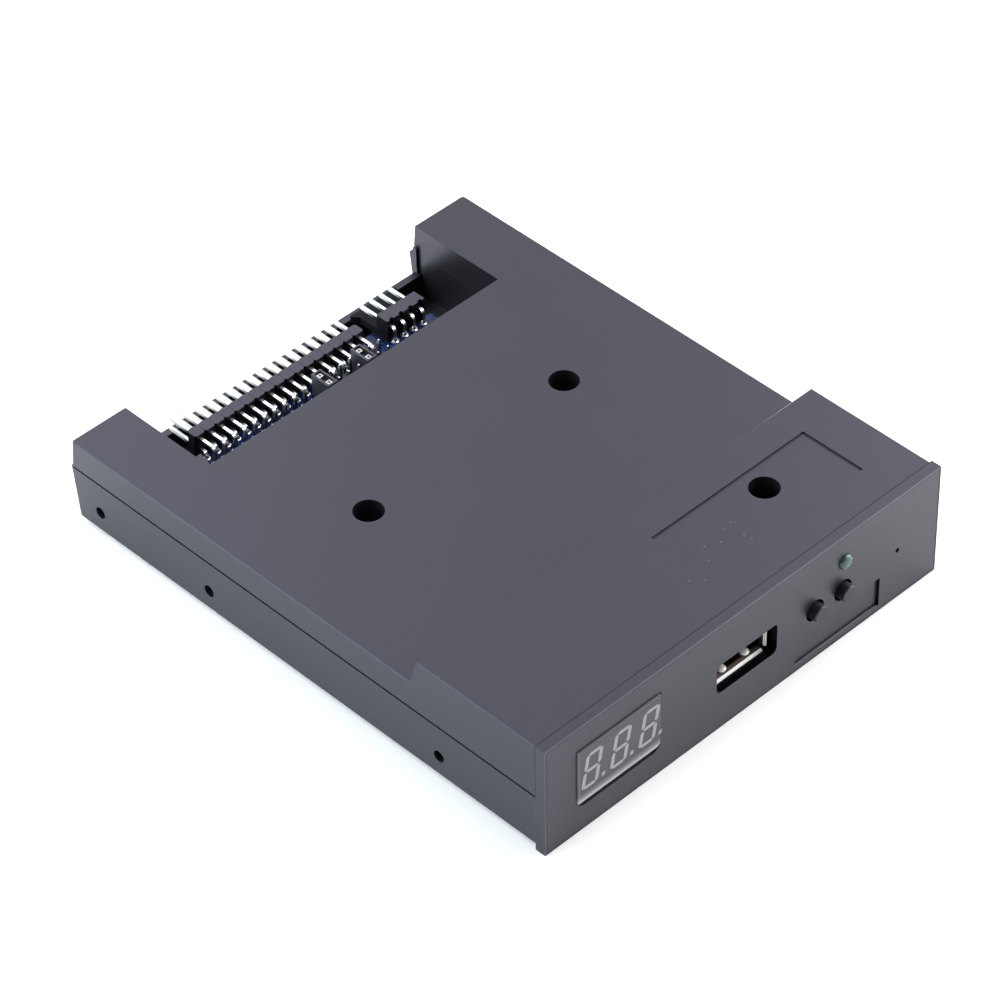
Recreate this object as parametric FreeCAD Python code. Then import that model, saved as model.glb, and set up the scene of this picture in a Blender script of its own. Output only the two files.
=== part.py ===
import FreeCAD, Part
import math
import os

V = FreeCAD.Vector

# All lengths are millimetres; depths are measured behind the front plane of the bezel

# Bezel and case envelope
BEZEL_WIDTH = 101.6
BEZEL_HEIGHT = 25.4
BEZEL_THICK = 2.4
BEZEL_EDGE = 0.5
BODY_HALF = 50.6
DEPTH = 124.5
BASE_FOOT_DEPTH = 122.95
COVER_FOOT_DEPTH = 124.05
COVER_TOP_DEPTH = 123.5
FLOOR_Z = 0.8
SEAM_Z = 13.0
MAIN_TOP = 19.1
RAISED_TOP = 25.1
STEP_TOP_DEPTH = 31.6
STEP_FOOT_DEPTH = 33.3
WALL = 1.6
FLOOR_THICK = 1.8
CORNER_RADIUS = 0.8
EDGE_BEVEL = 0.5
COVER_BEVEL = 0.2
SEAM_GROOVE = 0.45
BUTTON_REACH = 1.7
FRONT_Y = (BUTTON_REACH - DEPTH) / 2.0

# Rear cable notch and label recess of the cover
NOTCH_HALF = 37.3
NOTCH_FRONT = 100.3
LIP_HALF = 36.7
LIP_TOP = 8.0
GATE_DEPTH = 123.2
GATE_POST_TOP = 14.1
JOG_DEPTH = 103.8
LABEL_RECESS = (0.7, 40.65, 9.9, 24.6)
LABEL_DEPTH = 0.35

# Case screws with their cover wells
SCREW_PLACES = ((-25.2, 70.5), (25.1, 70.5), (24.8, 19.5))
WELL_RADIUS = 3.0
POST_RADIUS = 4.2
SEAT_Z = 11.0
SCREW_RADIUS = 1.45
SCREW_HEAD_RADIUS = 2.7
BOSS_RADIUS = 3.2

# Cross-shaped rests under the free corners of the board
BOARD_RESTS = ((-41.5, 14.0), (-41.5, 96.0), (26.0, 96.0))

# Drive bay threaded holes
THREAD_RADIUS = 1.25
SIDE_DEPTHS = (26.5, 86.5, 116.5)
SIDE_Z = 5.6
UNDER_X = 35.0
UNDER_DEPTHS = (26.5, 86.5)

# Circuit board
PCB_Z0 = 7.2
PCB_Z1 = 8.8
PCB_LEFT = -45.0
PCB_RIGHT = 29.6
PCB_FRONT = 3.4
PCB_REAR = 115.0
PCB_STEP = (-36.9, 99.0)
TAIL_Z = 6.2
PIN_SIDE = 0.64

# Display
DISPLAY_X = (-43.1, -22.3)
DISPLAY_Z = (6.0, 19.8)
DISPLAY_CORNER = 2.2
DISPLAY_PROUD = 0.5
DISPLAY_REAR = 5.6
FACE_FOOT = 9.4
DIGIT_X = (-42.35, -35.35, -28.35)
DIGIT_Z = 11.0
DIGIT_WIDTH = 3.3
DIGIT_HEIGHT = 6.9
DIGIT_LEAN = 1.75
STROKE = 0.66

# USB socket
USB_X = -0.2
USB_Z = 12.35
USB_RIM_DEPTH = 1.85

# Buttons and lamp
BUTTON_XS = (17.6, 25.0)
BUTTON_Z = 12.2
BUTTON_RADIUS = 1.75
BUTTON_HOLE = 2.3
LAMP_X = 25.2
LAMP_Z = 19.1

# Pin headers
PITCH = 2.54
HEADER_X0 = -28.8
HEADER_COLUMNS = 17
HEADER_ROWS_Z = (10.07, 12.61)
HEADER_DEPTHS = (112.4, 114.94)
POWER_X0 = 19.15
POWER_PITCH = 2.5
POWER_PIN_Z = 11.8
POWER_TIP = 120.2
POWER_TAIL = 110.3
JUMPER_X0 = -3.44
JUMPER_COLUMNS = 7
JUMPER_DEPTHS = (104.3, 106.84)


def y_at(depth):
    return FRONT_Y + depth


def block(x0, x1, d0, d1, z0, z1):
    return Part.makeBox(x1 - x0, d1 - d0, z1 - z0, V(x0, y_at(d0), z0))


def rod_x(depth, z, radius, x0, x1):
    return Part.makeCylinder(radius, x1 - x0, V(x0, y_at(depth), z), V(1, 0, 0))


def rod_y(x, z, radius, d0, d1):
    return Part.makeCylinder(radius, d1 - d0, V(x, y_at(d0), z), V(0, 1, 0))


def rod_z(x, depth, radius, z0, z1):
    return Part.makeCylinder(radius, z1 - z0, V(x, y_at(depth), z0), V(0, 0, 1))


def polygon(points):
    return Part.makePolygon(list(points) + [points[0]])


def prism_x(points, x0, x1):
    # Points are (depth, height) pairs
    wire = polygon([V(x0, y_at(d), z) for d, z in points])
    return Part.Face(wire).extrude(V(x1 - x0, 0, 0))


def prism_y(points, d0, d1):
    # Points are (across, height) pairs
    wire = polygon([V(x, y_at(d0), z) for x, z in points])
    return Part.Face(wire).extrude(V(0, d1 - d0, 0))


def prism_z(points, z0, z1):
    # Points are (across, depth) pairs
    wire = polygon([V(x, y_at(d), z0) for x, d in points])
    return Part.Face(wire).extrude(V(0, 0, z1 - z0))


def join(first, others):
    return first.fuse(list(others)).removeSplitter()


def mirrored(shape):
    return shape.mirror(V(0, 0, 0), V(1, 0, 0))


def edges_where(shape, test):
    return [edge for edge in shape.Edges if test(edge.BoundBox)]


def close(a, b):
    return abs(a - b) < 0.02


def save(name, shape):
    if isinstance(shape, (list, tuple)):
        shape = Part.makeCompound(list(shape))
    if not shape.isValid():
        raise RuntimeError(name + " is not a valid solid")
    shape.exportStep("parts/" + name + ".step")


# Case outlines

def case_outline(half, front, rear, z, radius):
    # Rectangle with its two rear corners rounded
    y0 = y_at(front)
    y1 = y_at(rear)
    bend = radius * (1.0 - math.sqrt(0.5))
    front_left = V(-half, y0, z)
    front_right = V(half, y0, z)
    right_low = V(half, y1 - radius, z)
    right_mid = V(half - bend, y1 - bend, z)
    right_high = V(half - radius, y1, z)
    left_high = V(-half + radius, y1, z)
    left_mid = V(-half + bend, y1 - bend, z)
    left_low = V(-half, y1 - radius, z)
    edges = [
        Part.makeLine(front_left, front_right),
        Part.makeLine(front_right, right_low),
        Part.Arc(right_low, right_mid, right_high).toShape(),
        Part.makeLine(right_high, left_high),
        Part.Arc(left_high, left_mid, left_low).toShape(),
        Part.makeLine(left_low, front_left),
    ]
    return Part.Wire(edges)


def case_prism(half, front, rear, z0, z1, radius):
    wire = case_outline(half, front, rear, z0, radius)
    return Part.Face(wire).extrude(V(0, 0, z1 - z0))


def raked_tray(inset, z0, z1):
    # Side profile whose rear face leans outward from the floor to the seam
    def rear_at(z):
        return BASE_FOOT_DEPTH + (DEPTH - BASE_FOOT_DEPTH) * (z - FLOOR_Z) / (SEAM_Z - FLOOR_Z) - inset
    half = BODY_HALF - inset
    profile = [(BEZEL_THICK, z0), (rear_at(z0), z0), (rear_at(z1), z1), (BEZEL_THICK, z1)]
    return prism_x(profile, -half, half)


def rounded_opening(x0, x1, z0, z1, lower_radius, upper_radius, d0, d1):
    # Window through the bezel with its own lower and upper corner radii
    def corner(cx, cz, radius, start):
        mid = math.radians(start + 45)
        end = math.radians(start + 90)
        begin = math.radians(start)
        at = [V(cx + radius * math.cos(a), y_at(d0), cz + radius * math.sin(a)) for a in (begin, mid, end)]
        return Part.Arc(*at).toShape()
    arcs = [
        corner(x1 - upper_radius, z1 - upper_radius, upper_radius, 0),
        corner(x0 + upper_radius, z1 - upper_radius, upper_radius, 90),
        corner(x0 + lower_radius, z0 + lower_radius, lower_radius, 180),
        corner(x1 - lower_radius, z0 + lower_radius, lower_radius, 270),
    ]
    edges = []
    for index, arc in enumerate(arcs):
        after = arcs[(index + 1) % 4]
        edges.append(arc)
        edges.append(Part.makeLine(arc.Vertexes[-1].Point, after.Vertexes[0].Point))
    return Part.Face(Part.Wire(edges)).extrude(V(0, d1 - d0, 0))


# Lower shell with the bezel

def bezel_plate():
    half = BEZEL_WIDTH / 2.0
    plate = block(-half, half, 0, BEZEL_THICK, 0, BEZEL_HEIGHT)
    rim = edges_where(plate, lambda b: close(b.YMax, y_at(0)))
    return plate.makeChamfer(BEZEL_EDGE, rim)


def bezel_cuts():
    x0, x1 = DISPLAY_X
    z0, z1 = DISPLAY_Z
    gap = 0.15
    cuts = [
        rounded_opening(x0 - gap, x1 + gap, z0 - gap, z1 + gap,
                        DISPLAY_CORNER + gap, 0.3, -1, BEZEL_THICK + 0.1),
        rounded_opening(-8.0, 7.6, 8.9, 15.8, 1.3, 0.8, -1, BEZEL_THICK + 0.1),
        rod_y(LAMP_X, LAMP_Z, 1.65, -1, BEZEL_THICK + 0.1),
        rod_y(39.6, 12.2, 0.5, -1, BEZEL_THICK + 0.1),
        block(12.5, 35.1, -1, 0.85, 1.5, 8.4),
    ]
    cuts += [rod_y(x, BUTTON_Z, BUTTON_HOLE, -1, BEZEL_THICK + 0.1) for x in BUTTON_XS]
    return cuts


def side_bosses():
    inner = 45.3
    wall = BODY_HALF - WALL + 0.1
    bosses = [block(inner, wall, d - 3.5, d + 3.5, FLOOR_Z + 0.5, 9.6) for d in SIDE_DEPTHS]
    return bosses + [mirrored(boss) for boss in bosses]


def side_threads():
    holes = [rod_x(d, SIDE_Z, THREAD_RADIUS, 45.0, 51.0) for d in SIDE_DEPTHS]
    return holes + [mirrored(hole) for hole in holes]


def under_places():
    return [(x, d) for x in (-UNDER_X, UNDER_X) for d in UNDER_DEPTHS]


def floor_bosses():
    floor = FLOOR_Z + FLOOR_THICK - 0.1
    screws = [rod_z(x, d, BOSS_RADIUS, floor, PCB_Z0) for x, d in SCREW_PLACES]
    unders = [block(x - 3.4, x + 3.4, d - 3.4, d + 3.4, floor, 5.6) for x, d in under_places()]
    rests = []
    for x, d in BOARD_RESTS:
        rests.append(block(x - 2.0, x + 2.0, d - 0.6, d + 0.6, floor, PCB_Z0))
        rests.append(block(x - 0.6, x + 0.6, d - 2.0, d + 2.0, floor, PCB_Z0))
    return screws + unders + rests


def seam_rails():
    rail = block(BODY_HALF - WALL + 0.05, BODY_HALF - 0.95, 4, 119, SEAM_Z - 0.2, SEAM_Z + 0.8)
    return [rail, mirrored(rail)]


def gate_walls():
    # Partitions below the notch flanks, each with a thin post beside the rear gate
    foot = FLOOR_Z + FLOOR_THICK - 0.1
    flank = block(NOTCH_HALF, NOTCH_HALF + WALL, NOTCH_FRONT, DEPTH - WALL, foot, SEAM_Z)
    post = block(LIP_HALF, LIP_HALF + 0.35, GATE_DEPTH - 0.7, GATE_DEPTH + 0.2, LIP_TOP, GATE_POST_TOP)
    return [flank, mirrored(flank), post, mirrored(post)]


def gate_lip():
    # Upright sill of the rear gate, inside the raked rear wall
    half = LIP_HALF + 0.5
    return block(-half, half, GATE_DEPTH - WALL, GATE_DEPTH - 0.05, FLOOR_Z + FLOOR_THICK - 0.1, LIP_TOP)


def tray_solid():
    solid = raked_tray(0, FLOOR_Z, SEAM_Z)
    uprights = edges_where(solid, lambda b: b.YMin > y_at(BASE_FOOT_DEPTH - 0.1) and b.ZMax - b.ZMin > 5)
    solid = solid.makeFillet(CORNER_RADIUS, uprights)
    lower = edges_where(solid, lambda b: close(b.ZMax, FLOOR_Z) and not close(b.YMax, y_at(BEZEL_THICK)))
    return solid.makeChamfer(EDGE_BEVEL, lower)


def seam_ring():
    # Shallow groove that runs round the shell just below the cover
    outside = case_prism(BODY_HALF + 1, BEZEL_THICK, DEPTH + 1, SEAM_Z - SEAM_GROOVE, SEAM_Z + 0.1, 2.0)
    inside = case_prism(BODY_HALF - 0.5, BEZEL_THICK - 1, DEPTH - 0.5, SEAM_Z - 1, SEAM_Z + 1, 1.0)
    return outside.cut(inside)


def base_shell():
    inner = raked_tray(WALL, FLOOR_Z + FLOOR_THICK, SEAM_Z + 0.1)
    tray = tray_solid().cut([inner, seam_ring()])
    gate = block(-LIP_HALF, LIP_HALF, GATE_DEPTH - WALL - 2.0, DEPTH + 1, LIP_TOP, SEAM_Z + 1)
    sill_face = block(-LIP_HALF, LIP_HALF, GATE_DEPTH, DEPTH + 1, FLOOR_Z, LIP_TOP + 0.1)
    added = [bezel_plate(), gate_lip()] + side_bosses() + floor_bosses() + seam_rails() + gate_walls()
    shell = join(tray.cut([gate, sill_face]), added)
    cuts = bezel_cuts() + side_threads()
    cuts += [rod_z(x, d, SCREW_RADIUS + 0.05, 3.0, PCB_Z0 + 0.1) for x, d in SCREW_PLACES]
    cuts += [rod_z(x, d, THREAD_RADIUS, 0, 5.7) for x, d in under_places()]
    return shell.cut(cuts).removeSplitter()


# Top cover

def cover_solid():
    main = prism_x([(BEZEL_THICK, SEAM_Z), (COVER_FOOT_DEPTH, SEAM_Z), (COVER_TOP_DEPTH, MAIN_TOP),
                    (BEZEL_THICK, MAIN_TOP)], -BODY_HALF, BODY_HALF)
    uprights = edges_where(main, lambda b: b.YMin > y_at(COVER_TOP_DEPTH - 0.1) and b.ZMax - b.ZMin > 5)
    main = main.makeFillet(CORNER_RADIUS, uprights)
    raised = prism_x([(BEZEL_THICK, SEAM_Z), (BEZEL_THICK, RAISED_TOP), (STEP_TOP_DEPTH, RAISED_TOP),
                      (STEP_FOOT_DEPTH, MAIN_TOP), (STEP_FOOT_DEPTH, SEAM_Z)], -BODY_HALF, BODY_HALF)
    solid = main.fuse(raised).removeSplitter()

    def bevelled(b):
        on_main = close(b.ZMin, MAIN_TOP) and close(b.ZMax, MAIN_TOP) and b.YMax > y_at(STEP_FOOT_DEPTH) + 1
        on_raised = close(b.ZMin, RAISED_TOP) and b.YMax > y_at(BEZEL_THICK) + 1
        return on_main or on_raised
    return solid.makeChamfer(COVER_BEVEL, edges_where(solid, bevelled))


def cover_hollow():
    half = BODY_HALF - WALL
    main = block(-half, half, BEZEL_THICK - 0.5, COVER_TOP_DEPTH - WALL, SEAM_Z - 0.5, MAIN_TOP - WALL)
    raised = prism_x([(BEZEL_THICK - 0.5, SEAM_Z), (BEZEL_THICK - 0.5, RAISED_TOP - WALL),
                      (30.4, RAISED_TOP - WALL), (32.1, MAIN_TOP - WALL), (32.1, SEAM_Z)], -half, half)
    return main.fuse(raised)


def notch_walls():
    rear = COVER_TOP_DEPTH - 0.5
    side = block(NOTCH_HALF - 0.1, NOTCH_HALF + WALL, NOTCH_FRONT, rear, SEAM_Z, MAIN_TOP - 0.5)
    return [side, mirrored(side)]


def jog_corner():
    # Small wedge in the left front corner of the notch
    outer = -NOTCH_HALF - 0.5
    front = NOTCH_FRONT - 1.0
    return prism_z([(outer, front), (-36.85, front), (-36.85, NOTCH_FRONT), (-36.1, JOG_DEPTH), (outer, JOG_DEPTH)],
                   SEAM_Z, MAIN_TOP)


def screw_posts():
    tops = (MAIN_TOP, MAIN_TOP, RAISED_TOP)
    return [rod_z(x, d, POST_RADIUS, PCB_Z1, top - 0.5) for (x, d), top in zip(SCREW_PLACES, tops)]


def screw_wells():
    wells = [rod_z(x, d, WELL_RADIUS, SEAT_Z, RAISED_TOP + 1) for x, d in SCREW_PLACES]
    return wells + [rod_z(x, d, SCREW_RADIUS + 0.15, PCB_Z1 - 0.5, SEAT_Z + 0.1) for x, d in SCREW_PLACES]


def top_cover():
    notch = block(-NOTCH_HALF, NOTCH_HALF, NOTCH_FRONT, DEPTH + 1, SEAM_Z - 1, MAIN_TOP + 1)
    solid = cover_solid().cut(notch).removeSplitter()
    corners = edges_where(solid, lambda b: close(abs(b.XMin), NOTCH_HALF) and close(b.XMin, b.XMax)
                          and b.YMin > y_at(COVER_TOP_DEPTH - 1.0) and b.ZMax - b.ZMin > 4)
    solid = solid.makeFillet(0.4, corners)
    shell = solid.cut(cover_hollow().cut(notch_walls() + screw_posts()))
    shell = join(shell, screw_posts() + [jog_corner()])
    x0, x1, d0, d1 = LABEL_RECESS
    recess = block(x0, x1, d0, d1, RAISED_TOP - LABEL_DEPTH, RAISED_TOP + 1)
    rail = block(BODY_HALF - WALL - 0.1, BODY_HALF - 0.85, 3.9, 119.1, SEAM_Z - 0.1, SEAM_Z + 0.9)
    return shell.cut([recess, rail, mirrored(rail)] + screw_wells()).removeSplitter()


def case_screws():
    screws = []
    for x, d in SCREW_PLACES:
        head = rod_z(x, d, SCREW_HEAD_RADIUS, SEAT_Z, SEAT_Z + 2.0)
        shank = rod_z(x, d, SCREW_RADIUS, 3.6, SEAT_Z + 0.1)
        cross = [block(x - 1.5, x + 1.5, d - 0.28, d + 0.28, SEAT_Z + 0.9, SEAT_Z + 3),
                 block(x - 0.28, x + 0.28, d - 1.5, d + 1.5, SEAT_Z + 0.9, SEAT_Z + 3)]
        screws.append(join(head, [shank]).cut(cross))
    return screws


# Circuit board and the parts soldered to it

def header_columns(x0, count, pitch):
    return [x0 + pitch * index for index in range(count)]


def square_z(x, d, side, z0, z1):
    half = side / 2.0
    return block(x - half, x + half, d - half, d + half, z0, z1)


def tail_depths():
    return (111.1, 108.56)


def display_link_xs():
    return header_columns(-36.51, 4, PITCH)


def board_pin_holes():
    holes = []
    for x in header_columns(HEADER_X0, HEADER_COLUMNS, PITCH):
        holes += [square_z(x, d, PIN_SIDE, 7, 9) for d in tail_depths()]
    for x in header_columns(POWER_X0, 4, POWER_PITCH):
        holes.append(square_z(x, POWER_TAIL, PIN_SIDE, 7, 9))
    for x in header_columns(JUMPER_X0, JUMPER_COLUMNS, PITCH):
        holes += [square_z(x, d, PIN_SIDE, 7, 9) for d in JUMPER_DEPTHS]
    holes += [square_z(x, 9.6, 0.5, 7, 9) for x in display_link_xs()]
    holes += [square_z(x, 11.0, 0.5, 7, 9) for x in lamp_lead_xs()]
    for centre in BUTTON_XS:
        holes += [block(x - 0.25, x + 0.25, 8.9, 9.4, 7, 9) for x in (centre - 2.25, centre + 2.25)]
        holes += [block(x - 0.15, x + 0.15, 5.7, 6.7, 7, 9) for x in (centre - 3.15, centre + 3.15)]
    holes += usb_leg_blocks(7, 9)
    holes += [square_z(x, 15.3, 0.5, 7, 9) for x in usb_contact_xs()]
    return holes


def circuit_board():
    step_x, step_d = PCB_STEP
    nick_x = PCB_RIGHT - 1.4
    nick_d = 111.4
    front = [(PCB_LEFT, 8.2), (-19.4, 8.2), (-19.4, PCB_FRONT), (PCB_RIGHT, PCB_FRONT)]
    rear = [(PCB_RIGHT, nick_d), (nick_x, nick_d), (nick_x, PCB_REAR), (step_x, PCB_REAR)]
    board = prism_z(front + rear + [(step_x, step_d), (PCB_LEFT, step_d)], PCB_Z0, PCB_Z1)
    cuts = [rod_z(x, d, 1.7, 7, 9) for x, d in SCREW_PLACES]
    return board.cut(cuts + board_pin_holes())


def gull_lead(reach, drop, width, thick, foot):
    # Flat lead that slopes from the package flank down to the board, along +X
    profile = [(0, drop), (reach, foot), (reach, 0), (0, drop - thick)]
    wire = polygon([V(x, -width / 2.0, z) for x, z in profile])
    return Part.Face(wire).extrude(V(0, width, 0))


def placed(shape, x, y, z, angle=0.0, tilt=None):
    copy = shape.copy()
    if tilt is not None:
        copy.rotate(V(0, 0, 0), V(1, 0, 0), tilt)
    copy.rotate(V(0, 0, 0), V(0, 0, 1), angle)
    copy.translate(V(x, y, z))
    return copy


CHIP_X = -12.0
CHIP_DEPTH = 60.0
CHIP_HALF = 3.5


def microcontroller():
    body = block(CHIP_X - CHIP_HALF, CHIP_X + CHIP_HALF, CHIP_DEPTH - CHIP_HALF, CHIP_DEPTH + CHIP_HALF,
                 PCB_Z1, PCB_Z1 + 1.4)
    top = edges_where(body, lambda b: close(b.ZMin, PCB_Z1 + 1.4))
    return body.makeChamfer(0.2, top)


def microcontroller_leads():
    lead = gull_lead(1.0, 0.75, 0.35, 0.2, 0.2)
    leads = []
    for side in range(4):
        angle = 90.0 * side
        turn = math.radians(angle)
        for index in range(8):
            along = (index - 3.5) * 0.8
            x = CHIP_HALF * math.cos(turn) - along * math.sin(turn)
            y = CHIP_HALF * math.sin(turn) + along * math.cos(turn)
            leads.append(placed(lead, CHIP_X + x, y_at(CHIP_DEPTH) + y, PCB_Z1, angle))
    return leads


def quartz_crystal():
    can = block(-14.5, -9.5, 47.4, 50.6, PCB_Z1, PCB_Z1 + 1.2)
    return can.makeChamfer(0.2, edges_where(can, lambda b: close(b.ZMin, PCB_Z1 + 1.2)))


REGULATOR_X = 12.0
REGULATOR_DEPTH = 40.0


def voltage_regulator():
    return block(REGULATOR_X - 3.25, REGULATOR_X + 3.25, REGULATOR_DEPTH - 1.75, REGULATOR_DEPTH + 1.75,
                 PCB_Z1, PCB_Z1 + 1.6)


def regulator_leads():
    y = y_at(REGULATOR_DEPTH)
    narrow = gull_lead(1.6, 0.9, 0.7, 0.3, 0.3)
    wide = gull_lead(1.6, 0.9, 3.0, 0.3, 0.3)
    leads = [placed(narrow, REGULATOR_X + shift, y - 1.75, PCB_Z1, -90) for shift in (-2.3, 0, 2.3)]
    leads.append(placed(wide, REGULATOR_X, y + 1.75, PCB_Z1, 90))
    return leads


def chip_row(x, d, count, step, length, width, height):
    return [block(x + step * i - width / 2, x + step * i + width / 2, d - length / 2, d + length / 2,
                  PCB_Z1, PCB_Z1 + height) for i in range(count)]


def ceramic_capacitors():
    return chip_row(-15.0, 68.0, 4, 2.0, 1.6, 0.8, 0.8) + chip_row(9.6, 33.5, 2, 4.8, 1.6, 0.8, 0.8)


def chip_resistors():
    return chip_row(-2.0, 24.0, 2, 4.4, 1.6, 0.8, 0.5) + chip_row(-4.0, 58.0, 6, 2.0, 1.6, 0.8, 0.5)


# Rear connectors

def interface_header_body():
    # One insulator with a nicked joint between neighbouring pin cells
    xs = header_columns(HEADER_X0 - PITCH / 2.0, HEADER_COLUMNS + 1, PITCH)
    d0, d1 = HEADER_DEPTHS
    nick = 0.4
    front = []
    rear = []
    for left, right in zip(xs[:-1], xs[1:]):
        front += [(left, d0 + nick), (left + nick, d0), (right - nick, d0)]
        rear += [(left, d1 - nick), (left + nick, d1), (right - nick, d1)]
    outline = front + [(xs[-1], d0 + nick), (xs[-1], d1 - nick)] + rear[::-1]
    body = prism_z(outline, PCB_Z1, PCB_Z1 + 2 * PITCH)
    half = PIN_SIDE / 2.0
    holes = []
    for x in header_columns(HEADER_X0, HEADER_COLUMNS, PITCH):
        holes += [block(x - half, x + half, d0 - 1, d1 + 1, z - half, z + half) for z in HEADER_ROWS_Z]
    return body.cut(holes)


def bent_pin(x, z, tip, tail, side):
    half = side / 2.0
    return prism_x([(tip, z - half), (tip, z + half), (tail - half, z + half), (tail - half, TAIL_Z),
                    (tail + half, TAIL_Z), (tail + half, z - half)], x - half, x + half)


def interface_header_pins():
    pins = []
    for x in header_columns(HEADER_X0, HEADER_COLUMNS, PITCH):
        for z, tail in zip(HEADER_ROWS_Z, tail_depths()):
            pins.append(bent_pin(x, z, 121.5, tail, PIN_SIDE))
    return pins


POWER_CENTRE = POWER_X0 + 1.5 * POWER_PITCH


def power_header_body():
    # Upright wall grooved above each pin, with a flat shelf behind it that widens at its end
    half_w = 4.95
    left = POWER_CENTRE - half_w
    right = POWER_CENTRE + half_w
    wall = block(left, right, 111.0, 113.95, PCB_Z1, 13.8)
    shelf = prism_z([(left, 113.5), (right, 113.5), (right, 118.6), (right + 1.15, 120.0), (right + 1.15, 120.3),
                     (left - 1.15, 120.3), (left - 1.15, 120.0), (left, 118.6)], PCB_Z1, 10.45)
    half = PIN_SIDE / 2.0
    cuts = []
    for x in header_columns(POWER_X0, 4, POWER_PITCH):
        cuts.append(block(x - half, x + half, 110.5, 115, POWER_PIN_Z - half, POWER_PIN_Z + half))
        cuts.append(block(x - 0.45, x + 0.45, 110.5, 111.45, PCB_Z1, 14))
    return join(wall, [shelf]).cut(cuts)


def power_header_pins():
    columns = header_columns(POWER_X0, 4, POWER_PITCH)
    return [bent_pin(x, POWER_PIN_Z, POWER_TIP, POWER_TAIL, PIN_SIDE) for x in columns]


def jumper_header_body():
    xs = header_columns(JUMPER_X0, JUMPER_COLUMNS, PITCH)
    d0 = JUMPER_DEPTHS[0] - 1.25
    d1 = JUMPER_DEPTHS[1] + 1.25
    body = block(xs[0] - 1.27, xs[-1] + 1.27, d0, d1, PCB_Z1, PCB_Z1 + PITCH)
    holes = [square_z(x, d, PIN_SIDE, 8, 12) for x in xs for d in JUMPER_DEPTHS]
    return body.cut(holes)


def jumper_header_pins():
    return [square_z(x, d, PIN_SIDE, TAIL_Z, 15.5)
            for x in header_columns(JUMPER_X0, JUMPER_COLUMNS, PITCH) for d in JUMPER_DEPTHS]


def jumper_caps():
    xs = header_columns(JUMPER_X0, JUMPER_COLUMNS, PITCH)
    caps = []
    for x in (xs[0], xs[4]):
        d0 = JUMPER_DEPTHS[0] - 1.2
        d1 = JUMPER_DEPTHS[1] + 1.2
        cap = block(x - 1.2, x + 1.2, d0, d1, PCB_Z1 + PITCH, 16.3)
        caps.append(cap.cut([square_z(x, d, PIN_SIDE, 11, 17) for d in JUMPER_DEPTHS]))
    return caps


# USB socket

def usb_leg_blocks(z0, z1):
    legs = []
    for d in (7.0, 12.5):
        for x in (USB_X - 6.4, USB_X + 6.4):
            legs.append(block(x - 0.15, x + 0.15, d - 0.7, d + 0.7, z0, z1))
    return legs


def usb_contact_xs():
    return [USB_X + at for at in (-3.5, -1.0, 1.0, 3.5)]


def usb_shell():
    # Folded sheet box with a flared mouth, floor springs and four board legs
    half_w = 6.55
    half_h = 2.85
    sheet = 0.3

    def ring(grow, depth):
        return polygon([V(USB_X + sx * (half_w + grow), y_at(depth), USB_Z + sz * (half_h + grow))
                        for sx, sz in ((-1, -1), (1, -1), (1, 1), (-1, 1))])
    outside = block(USB_X - half_w, USB_X + half_w, 2.9, 15.6, USB_Z - half_h, USB_Z + half_h)
    inner_w = half_w - sheet
    inner_h = half_h - sheet
    inside = block(USB_X - inner_w, USB_X + inner_w, 2, 15.3, USB_Z - inner_h, USB_Z + inner_h)
    flare_out = Part.makeLoft([ring(0.55, USB_RIM_DEPTH), ring(0.0, 3.0)], True, True)
    flare_in = Part.makeLoft([ring(0.55 - sheet, USB_RIM_DEPTH), ring(-sheet, 3.0)], True, True)
    tunnel = join(outside, [flare_out]).cut([inside, flare_in])
    corner_slits = []
    for sx in (-1, 1):
        for sz in (-1, 1):
            x = USB_X + sx * (half_w + 0.05)
            z = USB_Z + sz * (half_h + 0.2)
            corner_slits.append(block(x - 0.5, x + 0.5, 1, 2.95, z - 0.4, z + 0.4))
    legs = [leg for leg in usb_leg_blocks(TAIL_Z, USB_Z - 1.5)]
    springs = []
    windows = []
    for x in (USB_X - 3.0, USB_X + 3.0):
        z = USB_Z - half_h
        windows.append(block(x - 1.1, x + 1.1, 3.4, 9.0, z - 0.1, z + sheet + 0.01))
        springs.append(prism_x([(9.2, z), (9.2, z + sheet), (5.6, z + 0.85), (4.6, z + 1.0), (3.9, z + 0.75),
                                (3.5, z + 0.35), (3.5, z + 0.1), (3.8, z + 0.3), (4.5, z + 0.68),
                                (5.4, z + 0.55)], x - 0.8, x + 0.8))
    floor = USB_Z - half_h
    tail_slot = block(USB_X - 4.4, USB_X + 4.4, 13.0, 15.7, floor - 0.1, floor + sheet + 0.15)
    return join(tunnel.cut(corner_slits + windows + [tail_slot]), legs + springs)


def usb_tongue():
    tongue = block(USB_X - 5.55, USB_X + 5.55, 3.6, 11.6, 12.4, 14.2)
    nose = edges_where(tongue, lambda b: close(b.YMax, y_at(3.6)) and close(b.ZMin, b.ZMax))
    tongue = tongue.makeChamfer(0.4, nose)
    rear = block(USB_X - 6.25, USB_X + 6.25, 11.5, 14.4, 9.8, 14.9)
    foot = block(USB_X - 4.2, USB_X + 4.2, 13.2, 15.8, PCB_Z1, 9.9)
    foot = join(foot, [block(USB_X - 4.2, USB_X + 4.2, 13.2, 14.4, 9.0, 11.0)])
    body = join(tongue, [rear, foot])
    return body.cut([contact_path(x, 0.0) for x in usb_contact_xs()])


def contact_path(x, grow):
    # Flat strip under the tongue that turns down behind it into a board tail
    half = 0.45 + grow
    strip = block(x - half, x + half, 4.2, 14.0, 12.4 - 0.12, 12.4 + 0.12)
    drop = block(x - half, x + half, 13.6, 14.0, 9.6, 12.5)
    link = block(x - 0.25, x + 0.25, 13.6, 15.55, 9.3, 9.7)
    tail = square_z(x, 15.3, 0.5, TAIL_Z, 9.5)
    return join(strip, [drop, link, tail])


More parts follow.
